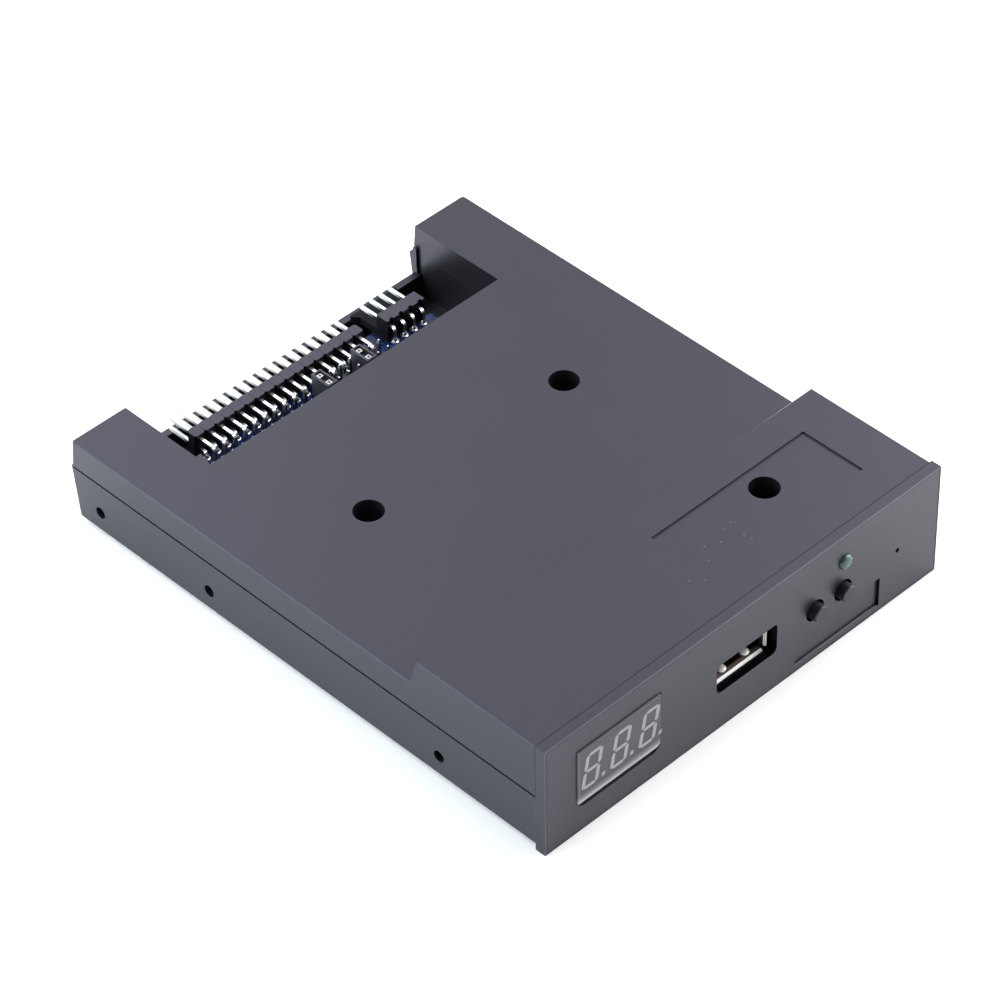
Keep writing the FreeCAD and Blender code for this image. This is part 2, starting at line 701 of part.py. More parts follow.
def usb_contacts():
    return [contact_path(x, 0.0) for x in usb_contact_xs()]


# Display

def segment_polygons():
    # Seven hexagonal bars and one point, before the lean
    w = DIGIT_WIDTH
    h = DIGIT_HEIGHT
    t = STROKE
    g = 0.10
    mid = h / 2.0

    def flat(z):
        upper = [(g + t * 0.35, z), (g + t * 0.85, z + t / 2), (w - g - t * 0.85, z + t / 2)]
        return upper + [(w - g - t * 0.35, z), (w - g - t * 0.85, z - t / 2), (g + t * 0.85, z - t / 2)]

    def upright(x, z0, z1):
        return [(x, z0), (x + t / 2, z0 + t * 0.5), (x + t / 2, z1 - t * 0.5), (x, z1),
                (x - t / 2, z1 - t * 0.5), (x - t / 2, z0 + t * 0.5)]
    bars = [flat(h - t / 2), flat(mid), flat(t / 2)]
    for x in (t / 2, w - t / 2):
        bars.append(upright(x, t * 0.45 + g, mid - g))
        bars.append(upright(x, mid + g, h - t * 0.45 - g))
    bars.append([(w + 1.3, -0.15), (w + 1.95, -0.15), (w + 1.95, 0.75), (w + 1.3, 0.75)])
    return bars


def segment_prisms(d0, d1):
    lean = DIGIT_LEAN / DIGIT_HEIGHT
    prisms = []
    for x0 in DIGIT_X:
        for bar in segment_polygons():
            prisms.append(prism_y([(x0 + x + lean * z, DIGIT_Z + z) for x, z in bar], d0, d1))
    return prisms


def display_pin_places():
    centre = sum(DISPLAY_X) / 2.0
    return [(x, z) for x in header_columns(centre - 2.5 * PITCH, 6, PITCH) for z in (7.62, 17.78)]


def square_y(x, z, side, d0, d1):
    half = side / 2.0
    return block(x - half, x + half, d0, d1, z - half, z + half)


def display_housing():
    x0, x1 = DISPLAY_X
    z0, z1 = DISPLAY_Z
    body = rounded_opening(x0, x1, z0, z1, DISPLAY_CORNER, 0.25, -DISPLAY_PROUD, DISPLAY_REAR)
    # The lower edge of the face falls back in a long bevel below the digits
    bevel = prism_x([(-DISPLAY_PROUD - 1, FACE_FOOT), (-DISPLAY_PROUD, FACE_FOOT), (-0.3, 7.9), (0.1, 6.7),
                     (0.7, 5.9), (0.7, 5.0), (-DISPLAY_PROUD - 1, 5.0)], x0 - 1, x1 + 1)
    pins = [square_y(x, z, 0.5, 4.8, 6) for x, z in display_pin_places()]
    return body.cut([bevel] + segment_prisms(-1, 0.2) + pins)


def display_segments():
    return segment_prisms(-DISPLAY_PROUD, 0.2)


def display_pins():
    return [square_y(x, z, 0.5, 4.8, 7.6) for x, z in display_pin_places()]


DRIVER_X = sum(DISPLAY_X) / 2.0
DRIVER_Z = 14.1


def display_board():
    centre = sum(DISPLAY_X) / 2.0
    board = block(centre - 11.6, centre + 11.6, DISPLAY_REAR, 6.8, 5.2, 20.6)
    cuts = [square_y(x, z, 0.5, 5, 7) for x, z in display_pin_places()]
    cuts += [square_y(x, 10.4, 0.5, 5, 7) for x in display_link_xs()]
    return board.cut(cuts)


def display_driver():
    return block(DRIVER_X - 4.95, DRIVER_X + 4.95, 6.8, 8.3, DRIVER_Z - 1.95, DRIVER_Z + 1.95)


def display_driver_leads():
    lead = gull_lead(0.9, 0.8, 0.4, 0.25, 0.25)
    leads = []
    for index in range(8):
        x = DRIVER_X + (index - 3.5) * 1.27
        for side in (-1, 1):
            flat = lead.copy()
            flat.rotate(V(0, 0, 0), V(0, 0, 1), 90)
            flat.rotate(V(0, 0, 0), V(1, 0, 0), -90)
            if side > 0:
                flat = flat.mirror(V(0, 0, 0), V(0, 0, 1))
            flat.translate(V(x, y_at(6.8), DRIVER_Z + side * 1.95))
            leads.append(flat)
    return leads


def display_link_pins():
    half = 0.25
    z = 10.4
    pins = []
    for x in display_link_xs():
        pins.append(prism_x([(DISPLAY_REAR, z - half), (DISPLAY_REAR, z + half), (9.6 + half, z + half),
                             (9.6 + half, TAIL_Z), (9.6 - half, TAIL_Z), (9.6 - half, z - half)],
                            x - half, x + half))
    return pins


# Lamp

def lamp_lead_xs():
    return (LAMP_X - 1.27, LAMP_X + 1.27)


def status_led():
    dome = Part.makeSphere(1.5, V(LAMP_X, y_at(1.0), LAMP_Z))
    body = join(rod_y(LAMP_X, LAMP_Z, 1.5, 1.0, 4.4), [dome])
    return body.cut([square_y(x, LAMP_Z, 0.5, 3.8, 5) for x in lamp_lead_xs()])


def led_leads():
    half = 0.25
    leads = []
    for x in lamp_lead_xs():
        leads.append(prism_x([(3.8, LAMP_Z - half), (3.8, LAMP_Z + half), (11.0 + half, LAMP_Z + half),
                              (11.0 + half, TAIL_Z), (11.0 - half, TAIL_Z), (11.0 - half, LAMP_Z - half)],
                             x - half, x + half))
    return leads


# Push buttons

def button_plunger(x):
    # Round stem with a square flange that the switch cover keeps in and the cavity keeps from turning
    stem = rod_y(x, BUTTON_Z, BUTTON_RADIUS, -BUTTON_REACH, 5.1)
    tip = edges_where(stem, lambda b: close(b.YMax, y_at(-BUTTON_REACH)))
    stem = stem.makeChamfer(0.2, tip)
    return join(stem, [square_y(x, BUTTON_Z, 4.4, 5.02, 5.7)])


def switch_body(x):
    body = block(x - 2.95, x + 2.95, 5.0, 8.6, PCB_Z1, 15.3)
    return body.cut([square_y(x, BUTTON_Z, 5.0, 4, 6.3)])


def switch_cover(x):
    # Metal front plate folded back along both flanks, with one board leg each side
    plate = block(x - 3.3, x + 3.3, 4.7, 5.0, PCB_Z1 + 0.2, 15.3)
    flanks = []
    for side in (-1, 1):
        at = x + side * 3.15
        flanks.append(block(at - 0.15, at + 0.15, 4.9, 7.6, 10.0, 14.6))
        flanks.append(block(at - 0.15, at + 0.15, 5.7, 6.7, TAIL_Z, 10.1))
    shape = join(plate, flanks)
    return shape.cut([rod_y(x, BUTTON_Z, BUTTON_RADIUS + 0.1, 4, 6)])


def switch_terminals(x):
    tails = []
    for side in (-1, 1):
        at = x + side * 2.25
        tails.append(prism_x([(8.6, 10.6), (8.6, 11.0), (9.4, 11.0), (9.4, TAIL_Z), (8.9, TAIL_Z), (8.9, 10.6)],
                             at - 0.25, at + 0.25))
    return tails


PARTS = {
    "base_shell": base_shell,
    "top_cover": top_cover,
    "case_screws": case_screws,
    "circuit_board": circuit_board,
    "microcontroller": microcontroller,
    "microcontroller_leads": microcontroller_leads,
    "quartz_crystal": quartz_crystal,
    "voltage_regulator": voltage_regulator,
    "regulator_leads": regulator_leads,
    "ceramic_capacitors": ceramic_capacitors,
    "chip_resistors": chip_resistors,
    "interface_header_body": interface_header_body,
    "interface_header_pins": interface_header_pins,
    "power_header_body": power_header_body,
    "power_header_pins": power_header_pins,
    "jumper_header_body": jumper_header_body,
    "jumper_header_pins": jumper_header_pins,
    "jumper_caps": jumper_caps,
    "usb_shell": usb_shell,
    "usb_tongue": usb_tongue,
    "usb_contacts": usb_contacts,
    "display_housing": display_housing,
    "display_segments": display_segments,
    "display_pins": display_pins,
    "display_board": display_board,
    "display_driver": display_driver,
    "display_driver_leads": display_driver_leads,
    "display_link_pins": display_link_pins,
    "status_led": status_led,
    "led_leads": led_leads,
}

BUTTON_PARTS = {
    "button_plunger": button_plunger,
    "switch_body": switch_body,
    "switch_cover": switch_cover,
    "switch_terminals": switch_terminals,
}


def build_all():
    os.makedirs("parts", exist_ok=True)
    for name, maker in PARTS.items():
        save(name, maker())
    for side, x in zip(("left", "right"), BUTTON_XS):
        for name, maker in BUTTON_PARTS.items():
            save(side + "_" + name, maker(x))


build_all()
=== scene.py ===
"""Looks of a slim drive-bay unit with a display, a USB socket, two buttons and rear pin headers.

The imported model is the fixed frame. Every length is in metres, +X points right seen from the
front, +Y points from the bezel to the rear connectors, and +Z points up.
"""

import logging
import math
from dataclasses import dataclass, replace
from enum import Enum
from functools import cache
from typing import Callable, Optional, Sequence, Union

import bmesh
import bpy
from mathutils import Matrix, Vector


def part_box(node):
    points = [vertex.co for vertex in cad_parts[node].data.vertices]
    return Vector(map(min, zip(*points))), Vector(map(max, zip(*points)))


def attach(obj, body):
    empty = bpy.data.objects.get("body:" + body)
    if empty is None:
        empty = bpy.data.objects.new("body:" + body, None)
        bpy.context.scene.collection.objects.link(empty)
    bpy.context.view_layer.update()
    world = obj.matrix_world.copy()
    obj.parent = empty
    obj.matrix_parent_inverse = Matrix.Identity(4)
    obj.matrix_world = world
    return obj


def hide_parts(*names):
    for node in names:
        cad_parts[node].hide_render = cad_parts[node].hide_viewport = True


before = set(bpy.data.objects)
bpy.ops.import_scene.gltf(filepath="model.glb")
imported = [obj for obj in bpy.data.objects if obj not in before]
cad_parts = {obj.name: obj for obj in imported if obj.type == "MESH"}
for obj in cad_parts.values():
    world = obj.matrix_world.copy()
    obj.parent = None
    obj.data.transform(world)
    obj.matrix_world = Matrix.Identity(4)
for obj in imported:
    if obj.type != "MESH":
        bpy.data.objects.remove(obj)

LOG = logging.getLogger("scene")
MM = 0.001

Colour = tuple[float, float, float]
Triple = tuple[float, float, float]
Span = tuple[float, float]
Room = tuple[Span, Span, Span]
Mesh = bmesh.types.BMesh
Face = bmesh.types.BMFace
Edge = bmesh.types.BMEdge

WHITE: Colour = (1.0, 1.0, 1.0)
UP = Vector((0.0, 0.0, 1.0))
REARWARD = Vector((0.0, 1.0, 0.0))


# Shader maths


def _operator(operation: str, swapped: bool = False) -> Callable[["Value", "Input"], "Value"]:
    """Makes an operator that adds a Math node, with the value second where swapped."""

    def method(self: "Value", other: "Input") -> "Value":
        """Adds the Math node."""
        first, second = (other, self) if swapped else (self, other)
        return self.graph.maths(operation, first, second)

    return method


class Value:
    """One shader socket that can stand in Python arithmetic. A comparison gives one or zero.

    Attributes:
        graph: Graph that new Math nodes go into.
        socket: Output socket that holds the value.
    """

    def __init__(self, graph: "Graph", socket: bpy.types.NodeSocket) -> None:
        """Keeps the graph and the socket."""
        self.graph = graph
        self.socket = socket

    __add__ = __radd__ = _operator("ADD")
    __sub__ = _operator("SUBTRACT")
    __rsub__ = _operator("SUBTRACT", swapped=True)
    __mul__ = __rmul__ = _operator("MULTIPLY")
    __truediv__ = _operator("DIVIDE")
    __gt__ = _operator("GREATER_THAN")
    __lt__ = _operator("LESS_THAN")

    def __abs__(self) -> "Value":
        """Value without its sign."""
        return self.graph.maths("ABSOLUTE", self)

    def swing(self, by: float) -> "Value":
        """Noise that moves evenly about zero by this much."""
        return (self - 0.5) * by


Input = Union[Value, float, tuple]


@dataclass(frozen=True)
class Waves:
    """Settings of a soft noise.

    Attributes:
        scale: Waves for each metre.
        layers: Number of finer layers.
        weight: Weight of the finer layers.
    """

    scale: float
    layers: float = 2.0
    weight: float = 0.5


MOULD_GRAIN = Waves(1.0 / (0.35 * MM), 3.0, 0.6)
MOULD_CLOUDS = Waves(40.0, 4.0, 0.6)
RUBBING = Waves(220.0, 5.0, 0.7)
DUST_PATCHES = Waves(160.0)
CELL_GRAIN = Waves(4200.0, 3.0, 0.6)
ROLLING_MARKS = Waves(2600.0, 3.0, 0.65)
TARNISH = Waves(500.0, 3.0, 0.6)
TRACK_BENDS = Waves(160.0, 1.0)
COPPER_POURS = Waves(90.0, 1.0)
MASK_GRAIN = Waves(3000.0)
DISPLAY_GRAIN = Waves(5000.0)
EPOXY_CLOUDS = Waves(900.0, 3.0)
EPOXY_GRAIN = Waves(6000.0)
ROLLING_RELIEF: Span = (0.5, 0.004 * MM)
MOULD_RELIEF: Span = (1.0, 0.006 * MM)
RUBBED_SHINE = 0.03


class Graph:
    """Node tree of one material.

    Attributes:
        material: Material that owns the tree.
        tree: The node tree.
    """

    def __init__(self, name: str) -> None:
        """Starts an empty tree for a new material of this name."""
        self.material = bpy.data.materials.new(name)
        self.material.use_nodes = True
        self.tree = self.material.node_tree
        self.tree.nodes.clear()

    def node(self, kind: str, inputs: dict, settings: Optional[dict] = None) -> bpy.types.Node:
        """Adds any node.

        Args:
            kind: Node type.
            inputs: Numbers, colours or values by socket name or number.
            settings: Properties, which are set before the inputs.

        Returns:
            The new node.
        """
        made = self.tree.nodes.new(kind)
        for key, setting in (settings or {}).items():
            setattr(made, key, setting)
        for key, given in inputs.items():
            socket = made.inputs[key]
            if isinstance(given, Value):
                self.tree.links.new(given.socket, socket)
            elif socket.type == "RGBA":
                socket.default_value = (*given, 1.0)
            else:
                socket.default_value = given
        return made

    def read(
        self, kind: str, inputs: dict, settings: Optional[dict] = None, output: Union[int, str] = 0,
    ) -> Value:
        """Adds a node and returns one of its outputs."""
        return Value(self, self.node(kind, inputs, settings).outputs[output])

    def maths(self, operation: str, first: Input, second: Input = 0.0) -> Value:
        """Adds a Math node."""
        return self.read("ShaderNodeMath", {0: first, 1: second}, {"operation": operation})

    def clamp(self, value: Value) -> Value:
        """Limits a value to the span from zero to one."""
        return self.read("ShaderNodeClamp", {"Value": value})

    def place(self) -> Value:
        """Object coordinates of the shaded point."""
        return self.read("ShaderNodeTexCoord", {}, output="Object")

    def parts(self, vector: Value) -> tuple[Value, ...]:
        """Splits a vector into its three numbers."""
        split = self.node("ShaderNodeSeparateXYZ", {0: vector})
        return tuple(Value(self, number) for number in split.outputs)

    def level(self) -> Value:
        """How far the surface faces up, between minus one and one."""
        return self.parts(self.read("ShaderNodeTexCoord", {}, output="Normal"))[2]

    def within(self, axes: Sequence[Value], room: Room) -> Value:
        """One inside a room with straight sides, zero elsewhere."""
        inside = [(value > low) * (value < high) for value, (low, high) in zip(axes, room)]
        return inside[0] * inside[1] * inside[2]

    def scaled(self, vector: Value, scale: Triple) -> Value:
        """Multiplies a vector by three numbers."""
        return self.read("ShaderNodeVectorMath", {0: vector, 1: scale}, {"operation": "MULTIPLY"})

    def noise(self, vector: Value, waves: Waves) -> Value:
        """Soft noise between zero and one at a place."""
        inputs = {
            "Vector": vector, "Scale": waves.scale, "Detail": waves.layers,
            "Roughness": waves.weight,
        }
        return self.read("ShaderNodeTexNoise", inputs, output="Fac")

    def specks(self, vector: Value, scale: float, radius: float) -> Value:
        """One inside sparse specks, whose radius counts against their distance, else zero."""
        inputs, flat = {"Vector": vector, "Scale": scale}, {"voronoi_dimensions": "2D"}
        return self.read("ShaderNodeTexVoronoi", inputs, flat, "Distance") < radius

    def ramp(self, value: Value, start: float, end: float) -> Value:
        """Zero up to the start, one from the end."""
        made = self.node("ShaderNodeValToRGB", {"Fac": value})
        for element, place in zip(made.color_ramp.elements, (start, end)):
            element.position = place
        return Value(self, made.outputs["Color"])

    def blend(self, factor: Value, first: Input, second: Input) -> Value:
        """Mixes two colours by the share of the second one."""
        inputs = {"Factor": factor, 6: first, 7: second}
        return self.read("ShaderNodeMix", inputs, {"data_type": "RGBA"}, 2)

    def shade(self, factor: Value, colour: Colour, low: float, high: float = 1.0) -> Value:
        """Moves between two shares of one colour."""
        return self.blend(factor, toned(colour, low), toned(colour, high))

    def bump(self, height: Value, relief: Span, edge: float = 0.0) -> Value:
        """Turns a height into a normal.

        Args:
            height: Height between zero and one.
            relief: Strength of the effect and size of one unit of height.
            edge: Radius that sharp edges are read with, none if zero.

        Returns:
            The bent normal.
        """
        inputs = {"Height": height, "Strength": relief[0], "Distance": relief[1]}
        if edge:
            inputs["Normal"] = self.read("ShaderNodeBevel", {"Radius": edge}, {"samples": 6})
        return self.read("ShaderNodeBump", inputs)

    def surface(self, inputs: dict) -> bpy.types.Material:
        """Ends the tree with one surface shader and returns the material."""
        shader = self.read("ShaderNodeBsdfPrincipled", inputs)
        self.node("ShaderNodeOutputMaterial", {"Surface": shader})
        return self.material


def toned(colour: Colour, share: float) -> Colour:
    """Makes a colour darker or lighter."""
    return tuple(channel * share for channel in colour)


# Finishes


@dataclass(frozen=True)
class Finish:
    """Look of a surface.

    Attributes:
        name: Name of the material.
    """

    name: str

    def build(self) -> bpy.types.Material:
        """Makes the material."""
        graph = Graph(self.name)
        return graph.surface(self.inputs(graph))

    def inputs(self, graph: Graph) -> dict:
        """Inputs of the surface shader."""
        raise NotImplementedError


@dataclass(frozen=True)
class MouldedPlastic(Finish):
    """Injection-moulded plastic with a fine spark-eroded grain.

    Attributes:
        colour: Colour of the plastic.
        roughness: Middle roughness.
        edge: Radius that sharp edges are read with.
        tint: Colour of the gloss.
        gloss: Strength of the gloss.
    """

    colour: Colour
    roughness: float = 0.38
    edge: float = 0.15 * MM
    tint: Colour = (0.75, 0.725, 1.0)
    gloss: float = 0.595

    def inputs(self, graph: Graph) -> dict:
        """Inputs of the surface shader."""
        grain, colour, roughness = self.skin(graph, graph.place())
        return self.close(graph, {"Base Color": colour, "Roughness": roughness}, grain)

    def skin(self, graph: Graph, place: Value) -> tuple[Value, Value, Value]:
        """Grain, colour and roughness of the bare plastic."""
        grain = graph.noise(place, MOULD_GRAIN)
        cloud = graph.noise(place, MOULD_CLOUDS)
        rubbing_and_highlight = graph.ramp(graph.noise(place, RUBBING), start=0.45, end=0.75) * RUBBED_SHINE
        roughness = self.roughness + grain.swing(by=0.10) + cloud.swing(by=0.06) - rubbing_and_highlight
        return grain, graph.shade(cloud, self.colour, low=0.9, high=1.12), roughness

    def close(self, graph: Graph, inputs: dict, grain: Value) -> dict:
        """Adds grain, gloss and edge rounding to the inputs."""
        return {
            **inputs, "Normal": graph.bump(grain, MOULD_RELIEF, edge=self.edge),
            "Specular Tint": self.tint, "Specular IOR Level": self.gloss,
        }


@dataclass(frozen=True)
class CasePlastic(MouldedPlastic):
    """Plastic of the two shells, with a little dust, painted shade in the parting gap behind the
    bezel and on the walls of the bezel's openings, and painted highlights on the bezel's front
    edge and on the recess's lower wall.

    A place of painted shade is made partly metallic, which takes the gloss away there.

    Attributes:
        gap_y: Plane of the gap.
        gap_z: Height above which the gap is open.
        gap_half: Half the width of the gap.
        gap_shade: Shares of colour and metal of the painted shade in the gap.
        rim: Right, front and upper plane of the front edge, which gets a painted highlight.
        highlight_fade: Distance over which the painted highlight ends.
        highlight_reach: How far the painted highlight reaches inwards, in fades.
        highlight_share: Share of the colour in the painted highlight.
        wells: Room that holds the walls of the bezel's openings, which get painted shade.
        well_shade: Shares of colour and metal of the painted shade in the wells.
        ledge: Room that holds the recess's lower wall, which gets a painted highlight.
        pale: Colour of the painted highlight on the ledge.
        dusty: Room with a little dust on the cover.
        specks: Specks for each metre and their size against their distance.
        dust: Colour of the specks.
    """

    gap_y: float = 0.0
    gap_z: float = 0.0
    gap_half: float = 0.13 * MM
    gap_shade: Span = (0.2, 0.8)
    rim: Optional[Triple] = None
    highlight_fade: float = 0.1 * MM
    highlight_reach: float = 2.2
    highlight_share: float = 6.0
    wells: Optional[Room] = None
    well_shade: Span = (0.3, 0.75)
    ledge: Optional[Room] = None
    pale: Colour = (0.16, 0.16, 0.17)
    dusty: Room = ((-3.0 * MM, 15.0 * MM), (-51.5 * MM, -43.0 * MM), (20.0 * MM, 30.0 * MM))
    specks: Span = (300.0, 0.045)
    dust: Colour = (0.10, 0.10, 0.105)

    def inputs(self, graph: Graph) -> dict:
        """Inputs of the surface shader."""
        place = graph.place()
        x, y, z = axes = graph.parts(place)
        grain, colour, roughness = self.skin(graph, place)
        speck = graph.specks(place, *self.specks) * graph.within(axes, self.dusty)
        colour = graph.blend(speck * (graph.noise(place, DUST_PATCHES) > 0.5), colour, self.dust)
        # Painted shade along the parting gap between the bezel and the cover.
        gap = graph.clamp(1.5 - abs(y - self.gap_y) / self.gap_half) * (z > self.gap_z)
        colour = graph.blend(gap, colour, toned(self.colour, self.gap_shade[0]))
        metallic = gap * self.gap_shade[1]
        if self.rim is not None:
            # Painted highlight along the bezel's front edge, lighter towards its outer planes.
            right, front, top = self.rim
            outside = graph.maths("MAXIMUM", z - top, abs(x) - right)
            rubbing_and_highlight = graph.clamp((outside - (y - front)) / self.highlight_fade + self.highlight_reach)
            colour = graph.blend(rubbing_and_highlight, colour, toned(self.colour, self.highlight_share))
        # Painted shade on the walls of the bezel's openings.
        if self.wells is not None:
            wall = graph.within(axes, self.wells)
            colour = graph.blend(wall, colour, toned(self.colour, self.well_shade[0]))
            metallic = metallic + wall * self.well_shade[1]
        # Painted highlight on the recess's lower wall, where the painted shade's metal is taken
        # away.
        if self.ledge is not None:
            ledge = graph.within(axes, self.ledge)
            colour = graph.blend(ledge, colour, self.pale)
            metallic = metallic * (1.0 - ledge)
        inputs = {"Base Color": colour, "Roughness": roughness, "Metallic": metallic}
        return self.close(graph, inputs, grain)


@dataclass(frozen=True)
class CellPlastic(Finish):
    """Moulded header plastic with painted shade below its top, in cells with a dark line at each
    joint.

    Attributes:
        top_z: Height of the top.
        first: Place of the first joint.
        pitch: Width of one cell.
        joined: Depth of the line at a joint against its width.
        line_half: Half the width of that line.
        line_dark: Strength of the line and share of the colour in it.
        shade_from: Distance below the top where the painted shade on the sides starts.
        side_shade: Shares of colour and metal of the painted shade on the sides.
        colour: Colour of the plastic.
        roughness: Roughness, and what grain, line and painted-shade sides add to it.
        grain_height: Height of the grain against the line's depth.
    """

    top_z: float
    first: float
    pitch: float
    joined: float = 1.0
    line_half: float = 0.16 * MM
    line_dark: Span = (0.85, 0.12)
    shade_from: float = 0.15 * MM
    side_shade: Span = (0.25, 0.6)
    colour: Colour = (0.019, 0.018, 0.026)
    roughness: tuple[float, ...] = (0.42, 0.1, 0.3, 0.2)
    grain_height: float = 0.2

    def inputs(self, graph: Graph) -> dict:
        """Inputs of the surface shader."""
        place = graph.place()
        x, _, z = graph.parts(place)
        off_joint = graph.maths("PINGPONG", x - self.first, self.pitch / 2)
        joint = graph.clamp(1.0 - off_joint / self.line_half) * self.joined
        # Painted shade on the sides below the header's top.
        sunk = z < self.top_z - self.shade_from
        grain = graph.noise(place, CELL_GRAIN)
        strength, share = self.line_dark
        colour = graph.shade(grain, self.colour, low=0.8, high=1.2)
        colour = graph.blend(joint * strength, colour, toned(self.colour, share))
        colour = graph.blend(sunk, colour, toned(self.colour, self.side_shade[0]))
        height = grain * self.grain_height - joint
        middle, by_grain, by_joint, by_side = self.roughness
        return {
            "Base Color": colour, "Metallic": sunk * self.side_shade[1],
            "Roughness": middle + grain * by_grain + joint * by_joint + sunk * by_side,
            "Normal": graph.bump(height, (1.0, 0.05 * MM), edge=0.08 * MM),
            "Specular Tint": (0.8, 0.78, 1.0), "Specular IOR Level": 0.58,
        }


@dataclass(frozen=True)
class PlatedMetal(Finish):
    """Tinned, nickel-plated, gilt or blackened metal.

    Attributes:
        colour: Colour of the metal.
        roughness: Middle roughness.
        streak: Stretch of the rolling marks along each axis.
        metallic: Share of metal; well below one on the springs' tips, whose pale tin is a painted
            highlight.
    """

    colour: Colour
    roughness: float = 0.22
    streak: Triple = (1.0, 1.0, 1.0)
    metallic: float = 1.0

    def inputs(self, graph: Graph) -> dict:
        """Inputs of the surface shader."""
        place = graph.scaled(graph.place(), self.streak)
        marks = graph.noise(place, ROLLING_MARKS)
        return {
            "Base Color": graph.shade(graph.noise(place, TARNISH), self.colour, low=0.82),
            "Metallic": self.metallic, "Roughness": self.roughness + marks.swing(by=0.16),
            "Normal": graph.bump(marks, ROLLING_RELIEF, edge=0.05 * MM),
        }


@dataclass(frozen=True)
class PinPlate(PlatedMetal):
    """Tin plate on pins: painted light on level sides, painted shade on upright ones, dull free
    ends.

    Attributes:
        free_y: Plane behind which the pins stand free.
        fade: Distance over which they turn dull.
        dull: Colour of the free ends.
        dull_rough: What the free ends add to the roughness.
        turn: Slope and offset of the painted change from dark upright to light level sides.
    """

    free_y: float = 1.0
    fade: float = 2.0 * MM
    dull: Colour = (0.74, 0.735, 0.70)
    dull_rough: float = 0.4
    turn: Span = (2.0, 0.3)

    def inputs(self, graph: Graph) -> dict:
        """Inputs of the surface shader."""
        place = graph.place()
        _, y, _ = graph.parts(place)
        marks = graph.noise(place, ROLLING_MARKS)
        slope, offset = self.turn
        # Painted reflection by facing: level sides light, upright sides dark.
        up = graph.clamp(graph.level() * slope - offset)
        free = graph.clamp((y - self.free_y) / self.fade)
        roughness = self.roughness + marks.swing(by=0.1) + free * self.dull_rough
        plate = graph.shade(up, self.colour, low=0.22)
        return {
            "Base Color": graph.blend(free, plate, self.dull),
            "Metallic": self.metallic * (1.0 - free), "Roughness": roughness,
            "Normal": graph.bump(marks, ROLLING_RELIEF),
        }


@dataclass(frozen=True)
class SolderMask(Finish):
    """Blue solder mask over copper tracks and pours.

    Attributes:
        mask: Colour over bare laminate.
        track: Colour over copper.
        pitch: Distance between tracks.
        track_half: Half the width of a track, in pitches.
        bend: How far the tracks bend, in pitches.
        stretch: Stretch of the bends along each axis.
        poured: Noise above which a copper pour lies.
        speck_dark: Strength of the grain and share of the mask's colour in it.
        roughness: Roughness, and what the grain adds to it.
        heights: Height of copper and of grain.
    """

    mask: Colour = (0.005, 0.009, 0.045)
    track: Colour = (0.006, 0.030, 0.150)
    pitch: float = 1.27 * MM
    track_half: float = 0.15
    bend: float = 2.4
    stretch: Triple = (1.0, 0.35, 1.0)
    poured: float = 0.52
    speck_dark: Span = (0.15, 0.4)
    roughness: Span = (0.30, 0.08)
    heights: Span = (0.6, 0.2)

    def inputs(self, graph: Graph) -> dict:
        """Inputs of the surface shader."""
        place = graph.place()
        x, _, _ = graph.parts(place)
        wander = graph.noise(graph.scaled(place, self.stretch), TRACK_BENDS)
        bent = x + wander.swing(by=self.bend * self.pitch)
        lines = graph.maths("PINGPONG", bent, self.pitch / 2) < self.pitch * self.track_half
        copper = graph.clamp(lines + (graph.noise(place, COPPER_POURS) > self.poured))
        speck = graph.noise(place, MASK_GRAIN)
        strength, share = self.speck_dark
        colour = graph.blend(copper, self.mask, self.track)
        height = copper * self.heights[0] + speck * self.heights[1]
        return {
            "Base Color": graph.blend(speck * strength, colour, toned(self.mask, share)),
            "Roughness": self.roughness[0] + speck * self.roughness[1],
            "Normal": graph.bump(height, (0.7, 0.02 * MM)), "Coat Weight": 0.08,
            "Coat Roughness": 0.12, "Specular IOR Level": 0.35,
        }


@dataclass(frozen=True)
class SocketShell(Finish):
    """Plated sheet with a painted highlight at the flared rim and the springs, painted shade
    inside.

    Attributes:
        rim_y: Plane where the flare ends.
        springs: Heights between which the springs lie.
        half_width: Half the width over both springs.
        reach: Distance behind the flare where they end.
        rim: Colour of the painted highlight.
        inside: Colour of the rest, dark as painted shade.
        highlight_metal: Metal that the painted highlight loses.
        roughness: Roughness, and what the marks add to it.
        streak: Stretch of the rolling marks along each axis.
    """

    rim_y: float
    springs: Span
    half_width: float = 4.2 * MM
    reach: float = 2.5 * MM
    rim: Colour = (0.95, 0.95, 0.94)
    inside: Colour = (0.07, 0.05, 0.042)
    highlight_metal: float = 0.85
    roughness: Span = (0.28, 0.12)
    streak: Triple = (0.2, 1.0, 1.0)

    def inputs(self, graph: Graph) -> dict:
        """Inputs of the surface shader."""
        place = graph.place()
        axes = graph.parts(place)
        marks = graph.noise(graph.scaled(place, self.streak), ROLLING_MARKS)
        depth = (self.rim_y - self.reach, self.rim_y + self.reach)
        springs = ((-self.half_width, self.half_width), depth, self.springs)
        # Painted highlight: pale, barely metallic colour on the flare and on the springs.
        painted_highlight = graph.clamp((axes[1] < self.rim_y) + graph.within(axes, springs))
        return {
            "Base Color": graph.blend(painted_highlight, self.inside, self.rim),
            "Metallic": 1.0 - painted_highlight * self.highlight_metal,
            "Roughness": self.roughness[0] + marks * self.roughness[1],
            "Normal": graph.bump(marks, ROLLING_RELIEF, edge=0.08 * MM),
        }


